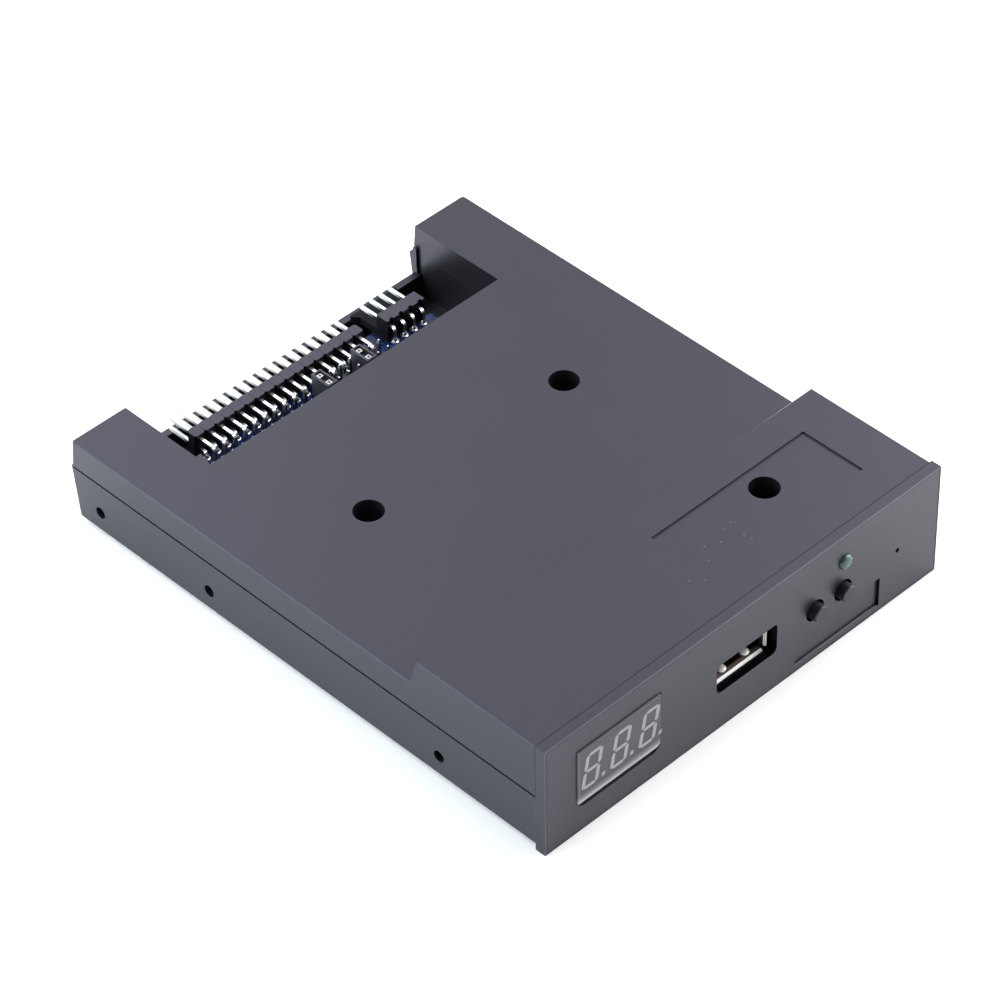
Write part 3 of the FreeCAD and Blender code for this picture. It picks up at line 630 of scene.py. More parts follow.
@dataclass(frozen=True)
class DisplayShell(Finish):
    """Display housing with a dark face and a pale lower edge.

    Attributes:
        left_x: Left side of the housing.
        top_z: Upper side of the housing.
        foot_z: Height where the pale edge starts.
        fade: Height over which it turns pale.
        rim: Width of the paler rim at the left and at the top.
        rim_pale: Paleness of the left and the upper rim.
        face: Colour of the face.
        pale: Colour of the lower edge.
        roughness: Roughness, and what the grain adds to it.
    """

    left_x: float
    top_z: float
    foot_z: float
    fade: float = 2.0 * MM
    rim: float = 0.36 * MM
    rim_pale: Span = (0.22, 0.14)
    face: Colour = (0.026, 0.0245, 0.030)
    pale: Colour = (0.42, 0.42, 0.45)
    roughness: Span = (0.26, 0.08)

    def inputs(self, graph: Graph) -> dict:
        """Inputs of the surface shader."""
        place = graph.place()
        x, _, z = graph.parts(place)
        speck = graph.noise(place, DISPLAY_GRAIN)
        low = graph.clamp((self.foot_z - z) / self.fade)
        side = (x < self.left_x + self.rim) * self.rim_pale[0]
        top = (z > self.top_z - self.rim) * self.rim_pale[1]
        return {
            "Base Color": graph.blend(graph.clamp(low * low + side + top), self.face, self.pale),
            "Roughness": self.roughness[0] + speck * self.roughness[1],
            "Normal": graph.bump(speck, (0.4, 0.004 * MM), edge=0.1 * MM),
            "Coat Weight": 0.12, "Coat Roughness": 0.1, "Specular Tint": (0.85, 0.82, 1.0),
        }


@dataclass(frozen=True)
class Epoxy(Finish):
    """Cast epoxy: lamp body, display segments or chip moulding.

    Attributes:
        colour: Colour of the epoxy.
        roughness: Middle roughness.
        clear: Share of light that passes through.
    """

    colour: Colour
    roughness: float = 0.3
    clear: float = 0.0

    def inputs(self, graph: Graph) -> dict:
        """Inputs of the surface shader."""
        place = graph.place()
        cloud = graph.noise(place, EPOXY_CLOUDS)
        return {
            "Base Color": graph.shade(cloud, self.colour, low=0.85),
            "Roughness": self.roughness + cloud.swing(by=0.08),
            "Normal": graph.bump(graph.noise(place, EPOXY_GRAIN), (0.3, 0.004 * MM)),
            "Transmission Weight": self.clear, "IOR": 1.5,
        }


@dataclass(frozen=True)
class StudioPaper(Finish):
    """Plain pale floor, lit a little from below.

    Attributes:
        colour: Colour of the paper.
        glow: Strength of the light from below.
    """

    colour: Colour = (0.94, 0.94, 0.94)
    glow: float = 0.20

    def inputs(self, graph: Graph) -> dict:
        """Inputs of the surface shader."""
        return {
            "Base Color": self.colour, "Roughness": 0.9,
            "Emission Color": self.colour, "Emission Strength": self.glow,
        }


class Tone(Enum):
    """Finishes shared by several nodes."""

    BUTTON = MouldedPlastic(
        "button_plastic", (0.0085, 0.0083, 0.0095), roughness=0.45, edge=0.01 * MM, gloss=0.57,
    )
    HEADER = MouldedPlastic("header_plastic", (0.013, 0.013, 0.018), roughness=0.42, edge=0.08 * MM)
    JUMPER = MouldedPlastic("jumper_plastic", (0.028, 0.027, 0.033), roughness=0.36, edge=0.05 * MM)
    TONGUE = MouldedPlastic("tongue_plastic", (0.02, 0.02, 0.02), roughness=0.5)
    CHIP = Epoxy("chip_epoxy", (0.02, 0.02, 0.02), roughness=0.55)
    CERAMIC = Epoxy("ceramic_body", (0.42, 0.30, 0.2), roughness=0.5)
    TIN = PlatedMetal("tin_plate", (0.86, 0.84, 0.80), roughness=0.24)
    PIN = PinPlate("bright_tin", (0.93, 0.93, 0.92), roughness=0.22, metallic=0.9)
    SOLDER = PlatedMetal("solder", (0.93, 0.93, 0.95), roughness=0.18, metallic=0.9)
    # Pale, barely metallic tin as a painted highlight on the springs' tips.
    HIGHLIGHT_TIN = PlatedMetal("highlight_tin", (0.95, 0.95, 0.93), roughness=0.3, metallic=0.2)
    NICKEL = PlatedMetal("nickel_plate", (0.80, 0.78, 0.75), roughness=0.2, streak=(0.2, 1.0, 1.0))
    GILT = PlatedMetal("gold_flash", (0.83, 0.60, 0.26), roughness=0.25)
    BLACKENED = PlatedMetal("black_oxide", (0.10, 0.10, 0.11), roughness=0.35)
    BOARD = SolderMask("solder_mask")
    SEGMENT = Epoxy("segment_epoxy", (0.29, 0.272, 0.29), roughness=0.3)
    LAMP = Epoxy("lamp_epoxy", (0.07, 0.17, 0.175), roughness=0.12, clear=0.5)


@cache
def material_of(finish: Finish) -> bpy.types.Material:
    """Builds a finish once and returns its material afterwards."""
    return finish.build()


# Mesh helpers


def dress(node: str, finish: Finish) -> None:
    """Gives a node of the frame its finish."""
    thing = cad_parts[node]
    thing.data.materials.clear()
    thing.data.materials.append(material_of(finish))


def placed(name: str, mesh: Mesh, finish: Finish) -> bpy.types.Object:
    """Turns a bmesh into an object of the scene and uses it up."""
    data = bpy.data.meshes.new(name)
    mesh.to_mesh(data)
    mesh.free()
    data.materials.append(material_of(finish))
    thing = bpy.data.objects.new(name, data)
    bpy.context.scene.collection.objects.link(thing)
    return thing


def finished(name: str, mesh: Mesh, finish: Finish, body: str) -> bpy.types.Object:
    """Closes a shape and turns it into a piece that rides on a body.

    Args:
        name: Name of the piece.
        mesh: Its shape, which is used up.
        finish: Its finish.
        body: Body that carries the piece.

    Returns:
        The new piece.
    """
    bmesh.ops.remove_doubles(mesh, verts=mesh.verts, dist=0.002 * MM)
    bmesh.ops.recalc_face_normals(mesh, faces=mesh.faces)
    thing = placed(name, mesh, finish)
    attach(thing, body)
    return thing


@dataclass(frozen=True)
class Block:
    """Parts of a box that later steps work on.

    Attributes:
        front: Face towards -Y.
        rear: Face towards +Y.
        top: Face towards +Z.
        edges: All twelve edges.
    """

    front: Face
    rear: Face
    top: Face
    edges: tuple[Edge, ...]


def slab(mesh: Mesh, low: Vector, high: Vector) -> Block:
    """Adds a box between two corners."""
    place = Matrix.LocRotScale((low + high) / 2, None, high - low)
    made = bmesh.ops.create_cube(mesh, size=1.0, matrix=place)
    faces = {face: face.calc_center_median() for vert in made["verts"] for face in vert.link_faces}
    return Block(
        front=min(faces, key=lambda face: faces[face].y),
        rear=max(faces, key=lambda face: faces[face].y),
        top=max(faces, key=lambda face: faces[face].z),
        edges=tuple(dict.fromkeys(edge for face in faces for edge in face.edges)),
    )


def face_of(items: Sequence) -> Face:
    """Finds the face among what an operator made."""
    return next(item for item in items if isinstance(item, Face))


def lifted(mesh: Mesh, face: Face, shift: Vector, shrink: float = 1.0) -> Face:
    """Extrudes one face.

    Args:
        mesh: Shape that holds the face.
        face: Face to extrude.
        shift: How far the new face moves.
        shrink: Size of the new face against the old one.

    Returns:
        The new face.
    """
    end = face_of(bmesh.ops.extrude_face_region(mesh, geom=[face])["geom"])
    bmesh.ops.delete(mesh, geom=[face], context="FACES_ONLY")
    bmesh.ops.translate(mesh, vec=shift, verts=end.verts)
    if shrink != 1.0:
        centre = Matrix.Translation(-end.calc_center_median())
        bmesh.ops.scale(mesh, vec=(shrink, shrink, shrink), space=centre, verts=end.verts)
    return end


def bevelled(mesh: Mesh, edges: Sequence[Edge], offset: float, segments: int) -> None:
    """Rounds edges."""
    bmesh.ops.bevel(
        mesh, geom=list(edges), offset=offset, segments=segments, affect="EDGES", profile=0.5,
        material=-1,
    )


def trimmed(mesh: Mesh, point: Vector, outward: Vector) -> None:
    """Cuts away what lies outside a plane and closes the cut."""
    geom = [*mesh.verts, *mesh.edges, *mesh.faces]
    cut = bmesh.ops.bisect_plane(
        mesh, geom=geom, plane_co=point, plane_no=outward, clear_outer=True,
    )
    rim = [item for item in cut["geom_cut"] if isinstance(item, Edge)]
    bmesh.ops.contextual_create(mesh, geom=rim)


def turned(mesh: Mesh, centre: Vector, axis: Vector, profile: Sequence[Span], steps: int) -> None:
    """Adds a round form by turning a profile about a line.

    Args:
        mesh: Shape that the form joins.
        centre: Point on the line.
        axis: Direction of the line.
        profile: Pairs of radius and distance along the line, from the line and back to it.
        steps: Number of sides.
    """
    across = Vector((1.0, 0.0, 0.0))
    verts = [mesh.verts.new(centre + across * radius + axis * along) for radius, along in profile]
    edges = [mesh.edges.new(pair) for pair in zip(verts[:-1], verts[1:])]
    bmesh.ops.spin(
        mesh, geom=[*verts, *edges], cent=centre, axis=axis, angle=math.tau, steps=steps,
        use_merge=True,
    )


@dataclass(frozen=True)
class PinStock:
    """Square pin with a tapered tip.

    Attributes:
        side: Thickness of the pin.
        bend: Radius of a bend's middle line.
        tip: Length of the taper.
        taper: Thickness at the tip against the pin's.
        plate: Thickness of the plate that a pin grows from.
    """

    side: float
    bend: float = 0.95 * MM
    tip: float = 0.8 * MM
    taper: float = 0.45
    plate: float = 0.05 * MM

    def foot(self, mesh: Mesh, foot: Vector) -> Face:
        """Adds a thin square plate at a pin's foot and finds its upper face."""
        half = self.side / 2
        low = foot - Vector((half, half, 0.0))
        return slab(mesh, low, foot + Vector((half, half, self.plate))).top

    def straight(self, mesh: Mesh, foot: Vector, top: float) -> None:
        """Adds an upright pin from its foot to a height."""
        face = lifted(mesh, self.foot(mesh, foot), UP * (top - self.tip - foot.z))
        lifted(mesh, face, UP * self.tip, self.taper)

    def bent(self, mesh: Mesh, foot: Vector, row: float, end: float) -> None:
        """Adds a pin that rises from the board and bends to the rear.

        Args:
            mesh: Shape that the pin joins.
            foot: Centre of its lower end.
            row: Height of its level part.
            end: Where its tip ends, along +Y.
        """
        face = lifted(mesh, self.foot(mesh, foot), UP * (row - self.bend - foot.z))
        spun = bmesh.ops.spin(
            mesh, geom=[face], cent=(foot.x, foot.y + self.bend, row - self.bend),
            axis=(1.0, 0.0, 0.0), angle=-math.pi / 2, steps=6, use_merge=False,
        )
        bmesh.ops.delete(mesh, geom=[face], context="FACES_ONLY")
        level = end - self.tip - foot.y - self.bend
        face = lifted(mesh, face_of(spun["geom_last"]), REARWARD * level)
        lifted(mesh, face, REARWARD * self.tip, self.taper)


@dataclass(frozen=True)
class PinField:
    """Pins of one header.

    Attributes:
        node: Node with the plain pins.
        columns: Number of columns.
        rows: Number of rows.
        pitch: Distance between columns.
        row_pitch: Distance between rows.
        stock: Stock of the pins.
    """

    node: str
    columns: int
    rows: int
    pitch: float = 2.54 * MM
    row_pitch: float = 2.54 * MM
    stock: PinStock = PinStock(side=0.64 * MM)

    def feet(self, height: float) -> list[tuple[int, Vector]]:
        """Row and foot of every pin at a height, column by column, front row first."""
        low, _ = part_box(self.node)
        x, y = low.x + self.stock.side / 2, low.y + self.stock.side / 2
        return [
            (row, Vector((x + self.pitch * column, y + self.row_pitch * row, height)))
            for column in range(self.columns) for row in range(self.rows)
        ]


# Sub-assemblies


@dataclass
class Casework:
    """Lower shell with bezel, top cover and the case screws.

    Attributes:
        shells: Nodes of the two shells.
        bezel_depth: Depth of the bezel.
        seam_z: Height of the seam between the shells.
        openings_x: Reach of the openings, whose walls get painted shade.
        openings_z: Heights between which they lie.
        margin: Distance kept from the planes on both sides of a wall.
        chamfer: Width of the solid's chamfer, which the rim fills.
        rim_round: Radius of the rim's edge.
        recess_x: Reach of the recess.
        recess_z: Heights between which it lies.
        recess_depth: Its depth as photographed, and in the solid.
        slack: Gap round the recess's plate.
        foot_shade: Height of the painted shade line at the recess's foot.
    """

    shells: tuple[str, ...] = ("base_shell", "top_cover")
    bezel_depth: float = 2.4 * MM
    seam_z: float = 13.3 * MM
    openings_x: Span = (-20.0 * MM, 48.0 * MM)
    openings_z: Span = (1.0 * MM, 24.4 * MM)
    margin: float = 0.06 * MM
    chamfer: float = 0.5 * MM
    rim_round: float = 0.17 * MM
    recess_x: Span = (12.5 * MM, 35.1 * MM)
    recess_z: Span = (1.5 * MM, 8.4 * MM)
    recess_depth: Span = (0.55 * MM, 0.85 * MM)
    slack: float = 0.01 * MM
    foot_shade: float = 0.36 * MM

    def build(self) -> list[str]:
        """Dresses both shells and the screws and adds the bezel's rim and the recess's plate."""
        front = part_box("base_shell")[0].y
        plain = CasePlastic(
            "plain_plastic", (0.0105, 0.0103, 0.0115), roughness=0.34, edge=0.07 * MM,
            gap_y=front + self.bezel_depth, gap_z=self.seam_z,
        )
        margin, lower = self.margin, self.recess_z[0]
        depth = (front + margin, front + self.bezel_depth - margin)
        shallow = (front + margin / 2, front + self.recess_depth[0])
        # The shells' finish paints shade on the openings' walls and a highlight on the recess's
        # lower wall.
        skin = replace(
            plain, name="case_plastic", wells=(self.openings_x, depth, self.openings_z),
            ledge=(self.recess_x, shallow, (lower - margin, lower + margin)),
        )
        for node in self.shells:
            dress(node, skin)
        dress("case_screws", Tone.BLACKENED.value)
        return [*self.shells, "case_screws", self._rim(plain), self._recess_plate(plain)]

    def _rim(self, skin: CasePlastic) -> str:
        """Crisp rounded front edge that fills the bezel's chamfer."""
        low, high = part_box("base_shell")
        mesh = bmesh.new()
        block = slab(mesh, low, Vector((high.x, low.y + self.chamfer, high.z)))
        front, rear = block.front, block.rear
        outer = list(front.edges)
        bmesh.ops.inset_region(mesh, faces=[front], thickness=self.chamfer, depth=0.0)
        loops = [*front.edges, *rear.edges]
        bmesh.ops.delete(mesh, geom=[front, rear], context="FACES_ONLY")
        bmesh.ops.bridge_loops(mesh, edges=loops)
        bevelled(mesh, outer, self.rim_round, segments=3)
        # The rim's finish paints a highlight along the bezel's front edge.
        rubbing_and_highlight = replace(skin, name="rim_plastic", edge=0.01 * MM, rim=(high.x, low.y, high.z))
        return finished("bezel_rim", mesh, rubbing_and_highlight, "case").name

    def _recess_plate(self, skin: CasePlastic) -> str:
        """Plate that raises the floor of the bezel's recess."""
        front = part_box("base_shell")[0].y
        left, right = self.recess_x
        lower, upper = self.recess_z
        outer, inner = self.recess_depth
        mesh = bmesh.new()
        low = Vector((left + self.slack, front + outer, lower + self.slack))
        slab(mesh, low, Vector((right - self.slack, front + inner, upper - self.slack)))
        # Painted shade along the plate's foot, made through the wells of its finish.
        foot = (self.recess_x, (front, front + MM), (lower, lower + self.foot_shade))
        plate = replace(skin, name="plate_plastic", edge=0.005 * MM, wells=foot)
        return finished("recess_plate", mesh, plate, "case").name


@dataclass
class Electronics:
    """Main board and what is soldered to it.

    Attributes:
        finishes: Nodes by their finish.
    """

    finishes: tuple[tuple[Tone, tuple[str, ...]], ...] = (
        (Tone.BOARD, ("circuit_board", "display_board")),
        (Tone.CHIP, ("microcontroller", "voltage_regulator", "display_driver", "chip_resistors")),
        (Tone.TIN, (
            "microcontroller_leads", "regulator_leads", "display_driver_leads", "display_pins",
            "display_link_pins", "led_leads", "left_switch_terminals", "right_switch_terminals",
        )),
        (Tone.CERAMIC, ("ceramic_capacitors",)),
        (Tone.NICKEL, ("quartz_crystal",)),
    )

    def build(self) -> list[str]:
        """Dresses the boards, chips and leads."""
        done = []
        for tone, nodes in self.finishes:
            for node in nodes:
                dress(node, tone.value)
            done += nodes
        return done


@dataclass
class Headers:
    """Interface, power and jumper headers with their solder joints.

    Attributes:
        interface: Pins of the interface header.
        power: Pins of the power header.
        jumper: Pins of the jumper header.
        cap_columns: Columns that carry a jumper cap.
        free_from: Distance behind the header's body where the pins turn dull.
        joint: Radius and height along a solder cone.
        cap_width: Width of a cap.
        cap_wall: Thickness of its walls.
        cap_hollow: Depth of its hollow.
        cap_edge: Width of its bevelled edges.
        clip: Outer width, wall, height and depth of a clip.
        clip_drop: Distance from the cap's top down to the clip's foot.
    """

    interface: PinField = PinField("interface_header_pins", columns=17, rows=2)
    power: PinField = PinField("power_header_pins", columns=4, rows=1, pitch=2.5 * MM)
    jumper: PinField = PinField("jumper_header_pins", columns=7, rows=2)
    cap_columns: tuple[int, ...] = (0, 4)
    free_from: float = 0.8 * MM
    joint: tuple[Span, ...] = (
        (0.0, -0.1 * MM), (0.86 * MM, -0.1 * MM), (0.86 * MM, 0.06 * MM), (0.66 * MM, 0.20 * MM),
        (0.48 * MM, 0.46 * MM), (0.38 * MM, 0.80 * MM), (0.0, 0.86 * MM),
    )
    cap_width: float = 2.4 * MM
    cap_wall: float = 0.62 * MM
    cap_hollow: float = 1.1 * MM
    cap_edge: float = 0.14 * MM
    clip: tuple[float, ...] = (1.0 * MM, 0.22 * MM, 0.75 * MM, 0.6 * MM)
    clip_drop: float = 1.15 * MM

    def build(self) -> list[str]:
        """Dresses the insulators and makes the pins, joints and caps."""
        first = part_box("interface_header_body")[0].x
        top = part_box("interface_header_body")[1].z
        cells = CellPlastic("cell_plastic", top, first, self.interface.pitch)
        dress("interface_header_body", cells)
        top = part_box("power_header_body")[1].z
        power = CellPlastic("power_plastic", top, first, self.power.pitch, joined=0.0)
        dress("power_header_body", power)
        dress("jumper_header_body", Tone.HEADER.value)
        return [
            "interface_header_body", "power_header_body", "jumper_header_body",
            self._pins("interface_pins", self.interface), self._pins("power_pins", self.power),
            self._pins("jumper_pins", self.jumper, bent=False), self._joints(),
            self._cap_shells(), self._cap_clips(),
        ]

    def _pins(self, name: str, field: PinField, bent: bool = True) -> str:
        """Puts tinned pins with tapered tips in the place of a node's plain ones."""
        low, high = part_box(field.node)
        top_row = high.z - field.stock.side / 2
        mesh = bmesh.new()
        for row, foot in field.feet(low.z):
            if bent:
                field.stock.bent(mesh, foot, top_row - field.row_pitch * row, high.y)
            else:
                field.stock.straight(mesh, foot, high.z)
        free_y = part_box("interface_header_body")[1].y + self.free_from
        plate = replace(Tone.PIN.value, free_y=free_y)
        piece = finished(name, mesh, plate, "case")
        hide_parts(field.node)
        return name

    def _joints(self) -> str:
        """Solder cones round the pins of the two rear headers."""
        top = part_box("circuit_board")[1].z
        mesh = bmesh.new()
        for field in (self.interface, self.power):
            for _, foot in field.feet(top):
                turned(mesh, foot, UP, self.joint, steps=10)
        return finished("solder_joints", mesh, Tone.SOLDER.value, "case").name

    def _cap_feet(self, height: float) -> list[list[Vector]]:
        """Feet of the pins below each jumper cap, at a height."""
        feet, rows = [foot for _, foot in self.jumper.feet(height)], self.jumper.rows
        return [feet[rows * column:rows * (column + 1)] for column in self.cap_columns]

    def _cap_shells(self) -> str:
        """Open-topped jumper caps with bevelled edges."""
        low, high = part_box("jumper_caps")
        half = self.cap_width / 2
        mesh = bmesh.new()
        for foot, *_ in self._cap_feet(low.z):
            corner = Vector((foot.x + half, high.y, high.z))
            block = slab(mesh, Vector((foot.x - half, low.y, low.z)), corner)
            bmesh.ops.inset_region(mesh, faces=[block.top], thickness=self.cap_wall, depth=0.0)
            lifted(mesh, block.top, UP * -self.cap_hollow)
            bevelled(mesh, block.edges, self.cap_edge, segments=2)
        piece = finished("jumper_cap_shells", mesh, Tone.JUMPER.value, "case")
        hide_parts("jumper_caps")
        return "jumper_cap_shells"

    def _cap_clips(self) -> str:
        """Spring clips inside the caps."""
        foot_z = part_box("jumper_caps")[1].z - self.clip_drop
        width, wall, height, depth = self.clip
        stock = replace(self.jumper.stock, side=width)
        mesh = bmesh.new()
        for feet in self._cap_feet(foot_z):
            for foot in feet:
                rim = lifted(mesh, stock.foot(mesh, foot), UP * height)
                bmesh.ops.inset_region(mesh, faces=[rim], thickness=wall, depth=0.0)
                lifted(mesh, rim, UP * -depth)
        return finished("jumper_clips", mesh, Tone.NICKEL.value, "case").name


@dataclass
class UsbSocket:
    """Metal shell, tongue and contacts of the USB socket.

    Attributes:
        flare: Depth of the shell's bright flare.
        floor_z: Height of the shell's floor.
        springs: Heights of the springs above the floor.
        spring_x: Places of the springs' tips.
        tip_y: Distance of the tips behind the socket's front.
        tip: Half the width, depth and height of a tip.
    """

    # flare: Depth of the shell's flare, which carries a painted highlight.
    flare: float = 0.45 * MM
    floor_z: float = 9.5 * MM
    springs: Span = (0.35 * MM, 1.2 * MM)
    spring_x: Span = (-3.2 * MM, 2.8 * MM)
    tip_y: float = 1.65 * MM
    tip: Triple = (1.0 * MM, 0.95 * MM, 0.5 * MM)

    def build(self) -> list[str]:
        """Dresses the three nodes and adds the springs' tips."""
        low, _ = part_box("usb_shell")
        heights = (self.floor_z + self.springs[0], self.floor_z + self.springs[1])
        dress("usb_shell", SocketShell("socket_shell", rim_y=low.y + self.flare, springs=heights))
        dress("usb_tongue", Tone.TONGUE.value)
        dress("usb_contacts", Tone.GILT.value)
        return ["usb_shell", "usb_tongue", "usb_contacts", self._spring_tips(low.y + self.tip_y)]

    def _spring_tips(self, y: float) -> str:
        """Round bulges where the floor's springs press on a plug."""
        mesh = bmesh.new()
        for x in self.spring_x:
            centre = Vector((x, y, self.floor_z + self.springs[0]))
            place = Matrix.LocRotScale(centre, None, Vector(self.tip))
            bmesh.ops.create_uvsphere(mesh, u_segments=16, v_segments=10, radius=1.0, matrix=place)
        # The tips' pale tin is a painted highlight.
        return finished("spring_tips", mesh, Tone.HIGHLIGHT_TIN.value, "case").name


@dataclass
class Display:
    """Three-digit display in the bezel.

    Attributes:
        digit_x: Left end of each digit's foot.
        digit_z: Height of the digits' foot.
        width: Width of a digit.
        height: Height of a digit.
        stroke: Width of a bar.
        gap: Distance between bars.
        lean: How far a digit leans for each unit of height.
        level_ends: Where a level bar's tip and full width lie, in strokes.
        level_half: Half the width of a level bar, in strokes.
        upright_ends: Where an upright bar's tip lies, and the length of its point, in strokes.
        dot_x: Sides of the point behind a digit, from the digit's right end.
        dot_z: Lower and upper end of the point.
        sunk: How deep a bar reaches into the face.
        proud: How far it stands out of the face.
        corners: Radius and steps of the housing's lower and upper corners.
        foot: Points of depth and height where the face falls back.
        right_gap: Room between the housing and the right end of its opening.
        front_edge: Width of the slanted edge round the face.
    """

    digit_x: tuple[float, ...] = (-42.62 * MM, -35.57 * MM, -28.50 * MM)
    digit_z: float = 10.2 * MM
    width: float = 4.15 * MM
    height: float = 8.15 * MM
    stroke: float = 0.85 * MM
    gap: float = 0.21 * MM
    lean: float = 0.19
    level_ends: Span = (0.40, 0.95)
    level_half: float = 0.42
    upright_ends: Span = (0.4, 0.5)
    dot_x: Span = (0.9 * MM, 1.7 * MM)
    dot_z: Span = (0.3 * MM, 1.15 * MM)
    sunk: float = 0.3 * MM
    proud: float = 0.02 * MM
    corners: tuple[tuple[float, int], ...] = ((2.2 * MM, 8), (0.25 * MM, 2))
    foot: tuple[Span, ...] = (
        (0.0, 9.4 * MM), (0.2 * MM, 7.9 * MM), (0.6 * MM, 6.7 * MM), (1.2 * MM, 5.9 * MM),
    )
    right_gap: float = 0.22 * MM
    front_edge: float = 0.38 * MM

    def build(self) -> list[str]:
        """Makes the housing and its digits."""
        return [self._housing(), self._digits()]

    def _housing(self) -> str:
        """Housing with round corners, a slanted edge and a face that falls back at its foot."""
        low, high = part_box("display_housing")
        mesh = bmesh.new()
        block = slab(mesh, low, high - Vector((self.right_gap, 0.0, 0.0)))
        along = [edge for edge in block.edges if abs(edge.verts[0].co.y - edge.verts[1].co.y) > MM]
        middle = (low.z + high.z) / 2
        lower = [edge for edge in along if edge.verts[0].co.z < middle]
        upper = [edge for edge in along if edge not in lower]
        for edges, (radius, steps) in zip((lower, upper), self.corners):
            bevelled(mesh, edges, radius, steps)
        face_y = low.y + 0.01 * MM
        rim = [edge for edge in mesh.edges if max(vert.co.y for vert in edge.verts) < face_y]
        bevelled(mesh, rim, self.front_edge, segments=2)
        for start, end in zip(self.foot[:-1], self.foot[1:]):
            outward = Vector((0.0, end[1] - start[1], start[0] - end[0])).normalized()
            trimmed(mesh, Vector((0.0, low.y + start[0], start[1])), outward)
        foot_z = self.foot[0][1]
        shell = DisplayShell("display_shell", left_x=low.x, top_z=high.z, foot_z=foot_z)
        piece = finished("display_case", mesh, shell, "case")
        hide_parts("display_housing")
        return "display_case"

    def _bars(self) -> list[list[Span]]:
        """Outlines of the seven bars and the point, before the lean."""
        width, height, stroke, gap = self.width, self.height, self.stroke, self.gap
        middle, half = height / 2, stroke * self.level_half
        tip, full = (stroke * share + gap for share in self.level_ends)
        bars = []
        for z in (stroke / 2, middle, height - stroke / 2):
            bars.append([
                (tip, z), (full, z + half), (width - full, z + half),
                (width - tip, z), (width - full, z - half), (full, z - half),
            ])
        end, point = (stroke * share for share in self.upright_ends)
        for x in (stroke / 2, width - stroke / 2):
            left, right = x - stroke / 2, x + stroke / 2
            for z0, z1 in ((end, middle - gap), (middle + gap, height - end)):
                bars.append([
                    (x, z0), (right, z0 + point), (right, z1 - point),
                    (x, z1), (left, z1 - point), (left, z0 + point),
                ])
        (left, right), (lower, upper) = self.dot_x, self.dot_z
        left, right = width + left, width + right
        return [*bars, [(left, lower), (right, lower), (right, upper), (left, upper)]]

    def _digits(self) -> str:
        """Bars of the three digits, set a little into the face."""
        low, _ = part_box("display_housing")
        y = low.y + self.sunk
        mesh = bmesh.new()
        for start in self.digit_x:
            for bar in self._bars():
                verts = [
                    mesh.verts.new((start + x + self.lean * z, y, self.digit_z + z)) for x, z in bar
                ]
                faces = bmesh.ops.contextual_create(mesh, geom=verts)["faces"]
                faces[0].normal_update()
                end = face_of(bmesh.ops.extrude_face_region(mesh, geom=faces)["geom"])
                bmesh.ops.translate(mesh, vec=REARWARD * -(self.sunk + self.proud), verts=end.verts)
        piece = finished("display_digits", mesh, Tone.SEGMENT.value, "case")
        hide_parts("display_segments")
        return "display_digits"


@dataclass
class Controls:
    """Push buttons with their switches, and the lamp.

    Attributes:
        sides: Names of the two buttons.
        lamp: Middle of the lamp, across and up.
        lens: Pairs of radius and depth of the lamp's lens, from its middle outwards.
    """

    sides: tuple[str, ...] = ("left", "right")
    lamp: Span = (25.2 * MM, 19.1 * MM)
    lens: tuple[Span, ...] = (
        (0.0, -0.92 * MM), (0.8 * MM, -0.84 * MM), (1.3 * MM, -0.62 * MM), (1.54 * MM, -0.22 * MM),
        (1.62 * MM, 0.5 * MM), (1.62 * MM, 2.3 * MM), (0.0, 2.3 * MM),
    )

    def build(self) -> list[str]:
        """Dresses buttons, switches and lamp."""
        done = ["status_led", self._lens()]
        dress("status_led", Tone.LAMP.value)
        for side in self.sides:
            for node, tone in (
                (f"{side}_button_plunger", Tone.BUTTON),
                (f"{side}_switch_body", Tone.HEADER),
                (f"{side}_switch_cover", Tone.NICKEL),
            ):
                dress(node, tone.value)
                done.append(node)
        return done

    def _lens(self) -> str:
        """Clear lens that fills the lamp's hole."""
        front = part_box("base_shell")[0].y
        x, z = self.lamp
        mesh = bmesh.new()
        turned(mesh, Vector((x, front, z)), REARWARD, self.lens, steps=28)
        return finished("lamp_lens", mesh, Tone.LAMP.value, "case").name


@dataclass(frozen=True)
class SoftBox:
    """Square soft light.

    Attributes:
        name: Name of the light.
        place: Where it stands.
        aim: Point that it faces.
        size: Side of the square.
        power: Power in watts.
        colour: Colour of the light.
    """

    name: str
    place: Triple
    aim: Triple
    size: float
    power: float
    colour: Colour = WHITE

    def build(self) -> None:
        """Adds the light."""
        data = bpy.data.lights.new(self.name, "AREA")
        data.shape = "SQUARE"
        data.size = self.size
        data.energy = self.power
        data.color = self.colour
        place = Vector(self.place)
        turn = (Vector(self.aim) - place).to_track_quat("-Z", "Y")
        lamp = bpy.data.objects.new(self.name, data)
        lamp.matrix_world = Matrix.Translation(place) @ turn.to_matrix().to_4x4()
        bpy.context.scene.collection.objects.link(lamp)


BASE_MIDDLE: Triple = (0.0, 0.0, 0.0)
LEFT_REAR: Triple = (-0.04, 0.05, 0.0)


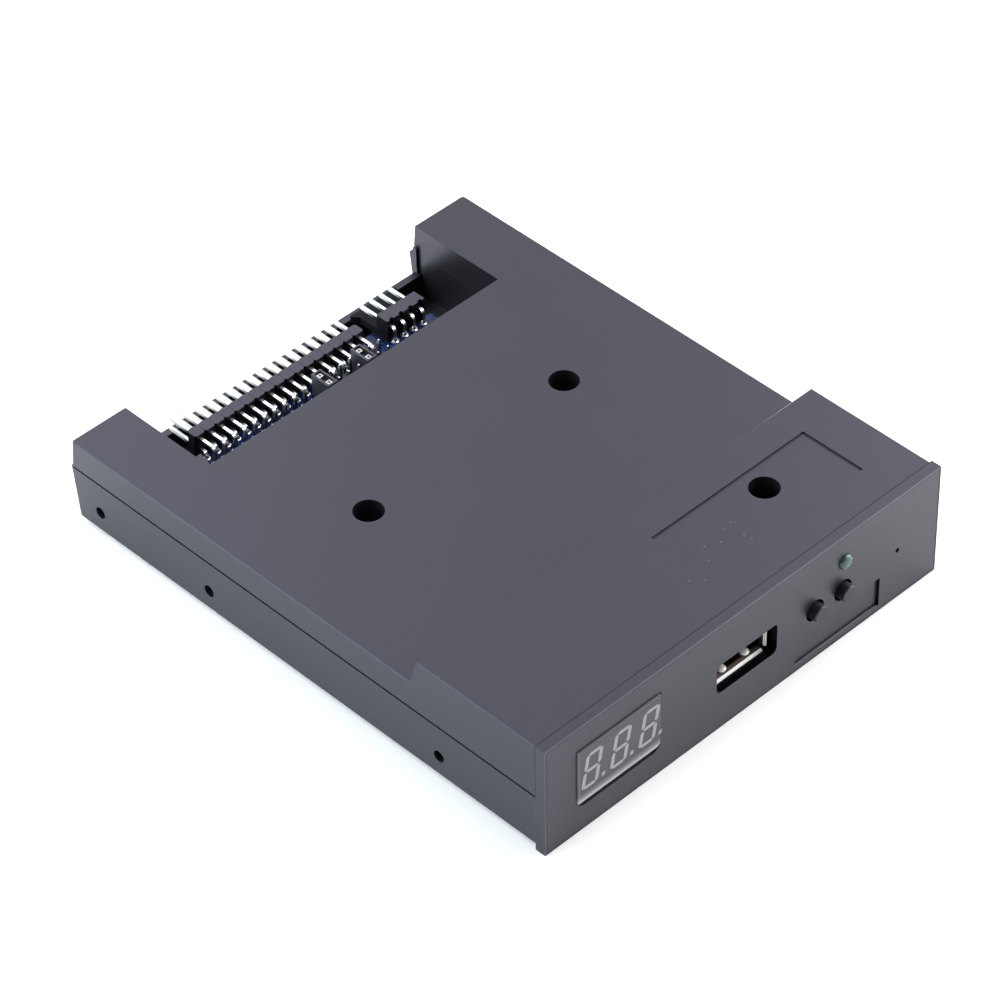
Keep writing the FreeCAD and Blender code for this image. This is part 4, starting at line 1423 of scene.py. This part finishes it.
@dataclass
class Studio:
    """Floor, lights and camera.

    Attributes:
        camera_place: Where the camera stands.
        azimuth: Its turn about the upright axis, in degrees.
        elevation: How far it looks down, in degrees.
        roll: Its turn about its own axis, in degrees.
        lens: Focal length in millimetres.
        floor_size: Side of the floor.
        sky: Strength of the even light from all round.
        boxes: The soft lights.
    """

    camera_place: Triple = (-0.438634, -0.452856, 0.586856)
    azimuth: float = -44.030
    elevation: float = 42.402
    roll: float = -1.033
    lens: float = 167.14
    floor_size: float = 6.0
    sky: float = 0.26
    boxes: tuple[SoftBox, ...] = (
        SoftBox("backdrop", (0.75, 1.10, 0.90), BASE_MIDDLE, 2.0, 12.9),
        SoftBox("overhead_box", (0.0, 0.3, 1.5), BASE_MIDDLE, 1.2, 6.0),
        SoftBox("rear_box", (-0.22, 0.50, 0.30), LEFT_REAR, 0.6, 2.6, (0.93, 0.96, 1.0)),
        SoftBox("rear_panel", (0.13, 0.44, 0.39), LEFT_REAR, 0.32, 0.38, (0.88, 0.94, 1.0)),
        SoftBox("right_box", (0.7, 0.0, 0.35), BASE_MIDDLE, 0.8, 3.7),
        SoftBox("front_right_box", (0.55, -0.28, 0.28), (0.05, -0.05, 0.0), 0.75, 7.6),
        SoftBox(
            "rear_left_box", (-0.70, 0.50, 0.32), (-0.05, 0.05, 0.0), 0.9, 8.6, (0.76, 0.93, 1.0),
        ),
        SoftBox("left_box", (-0.6, 0.1, 0.35), BASE_MIDDLE, 0.4, 0.35, (0.86, 0.92, 1.0)),
    )

    def build(self) -> list[str]:
        """Makes the stage."""
        self._floor()
        self._sky()
        for box in self.boxes:
            box.build()
        self._camera()
        return ["floor"]

    def _floor(self) -> None:
        """Pale floor at the bezel's lower edge."""
        mesh = bmesh.new()
        bmesh.ops.create_grid(mesh, x_segments=1, y_segments=1, size=self.floor_size / 2)
        floor = placed("floor", mesh, StudioPaper("studio_paper"))

    def _sky(self) -> None:
        """Even pale light from all round."""
        world = bpy.data.worlds.new("studio_world")
        world.use_nodes = True
        back = world.node_tree.nodes["Background"]
        back.inputs["Color"].default_value = (*WHITE, 1.0)
        back.inputs["Strength"].default_value = self.sky
        bpy.context.scene.world = world
        bpy.context.scene.view_settings.view_transform = "Standard"

    def _camera(self) -> None:
        """Camera at the photograph's place and angle."""
        azimuth, elevation = math.radians(self.azimuth), math.radians(self.elevation)
        level = math.cos(elevation)
        ahead = Vector((
            -math.sin(azimuth) * level, math.cos(azimuth) * level, -math.sin(elevation),
        ))
        right = ahead.cross(UP).normalized()
        turn = Matrix((right, right.cross(ahead), -ahead)).transposed().to_4x4()
        data = bpy.data.cameras.new("camera")
        data.lens = self.lens
        data.sensor_width = 36.0
        data.clip_start, data.clip_end = 0.01, 20.0
        camera = bpy.data.objects.new("camera", data)
        roll = Matrix.Rotation(math.radians(self.roll), 4, "Z")
        camera.matrix_world = Matrix.Translation(self.camera_place) @ turn @ roll
        bpy.context.scene.collection.objects.link(camera)
        bpy.context.scene.camera = camera


def main() -> None:
    """Builds every sub-assembly in order and reports it."""
    logging.basicConfig(level=logging.INFO, format="%(name)s: %(message)s")
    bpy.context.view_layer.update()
    for kind in (Casework, Electronics, Headers, UsbSocket, Display, Controls, Studio):
        for piece in kind().build():
            LOG.info("%s: %s", kind.__name__, piece)


if __name__ == "__main__":
    main()
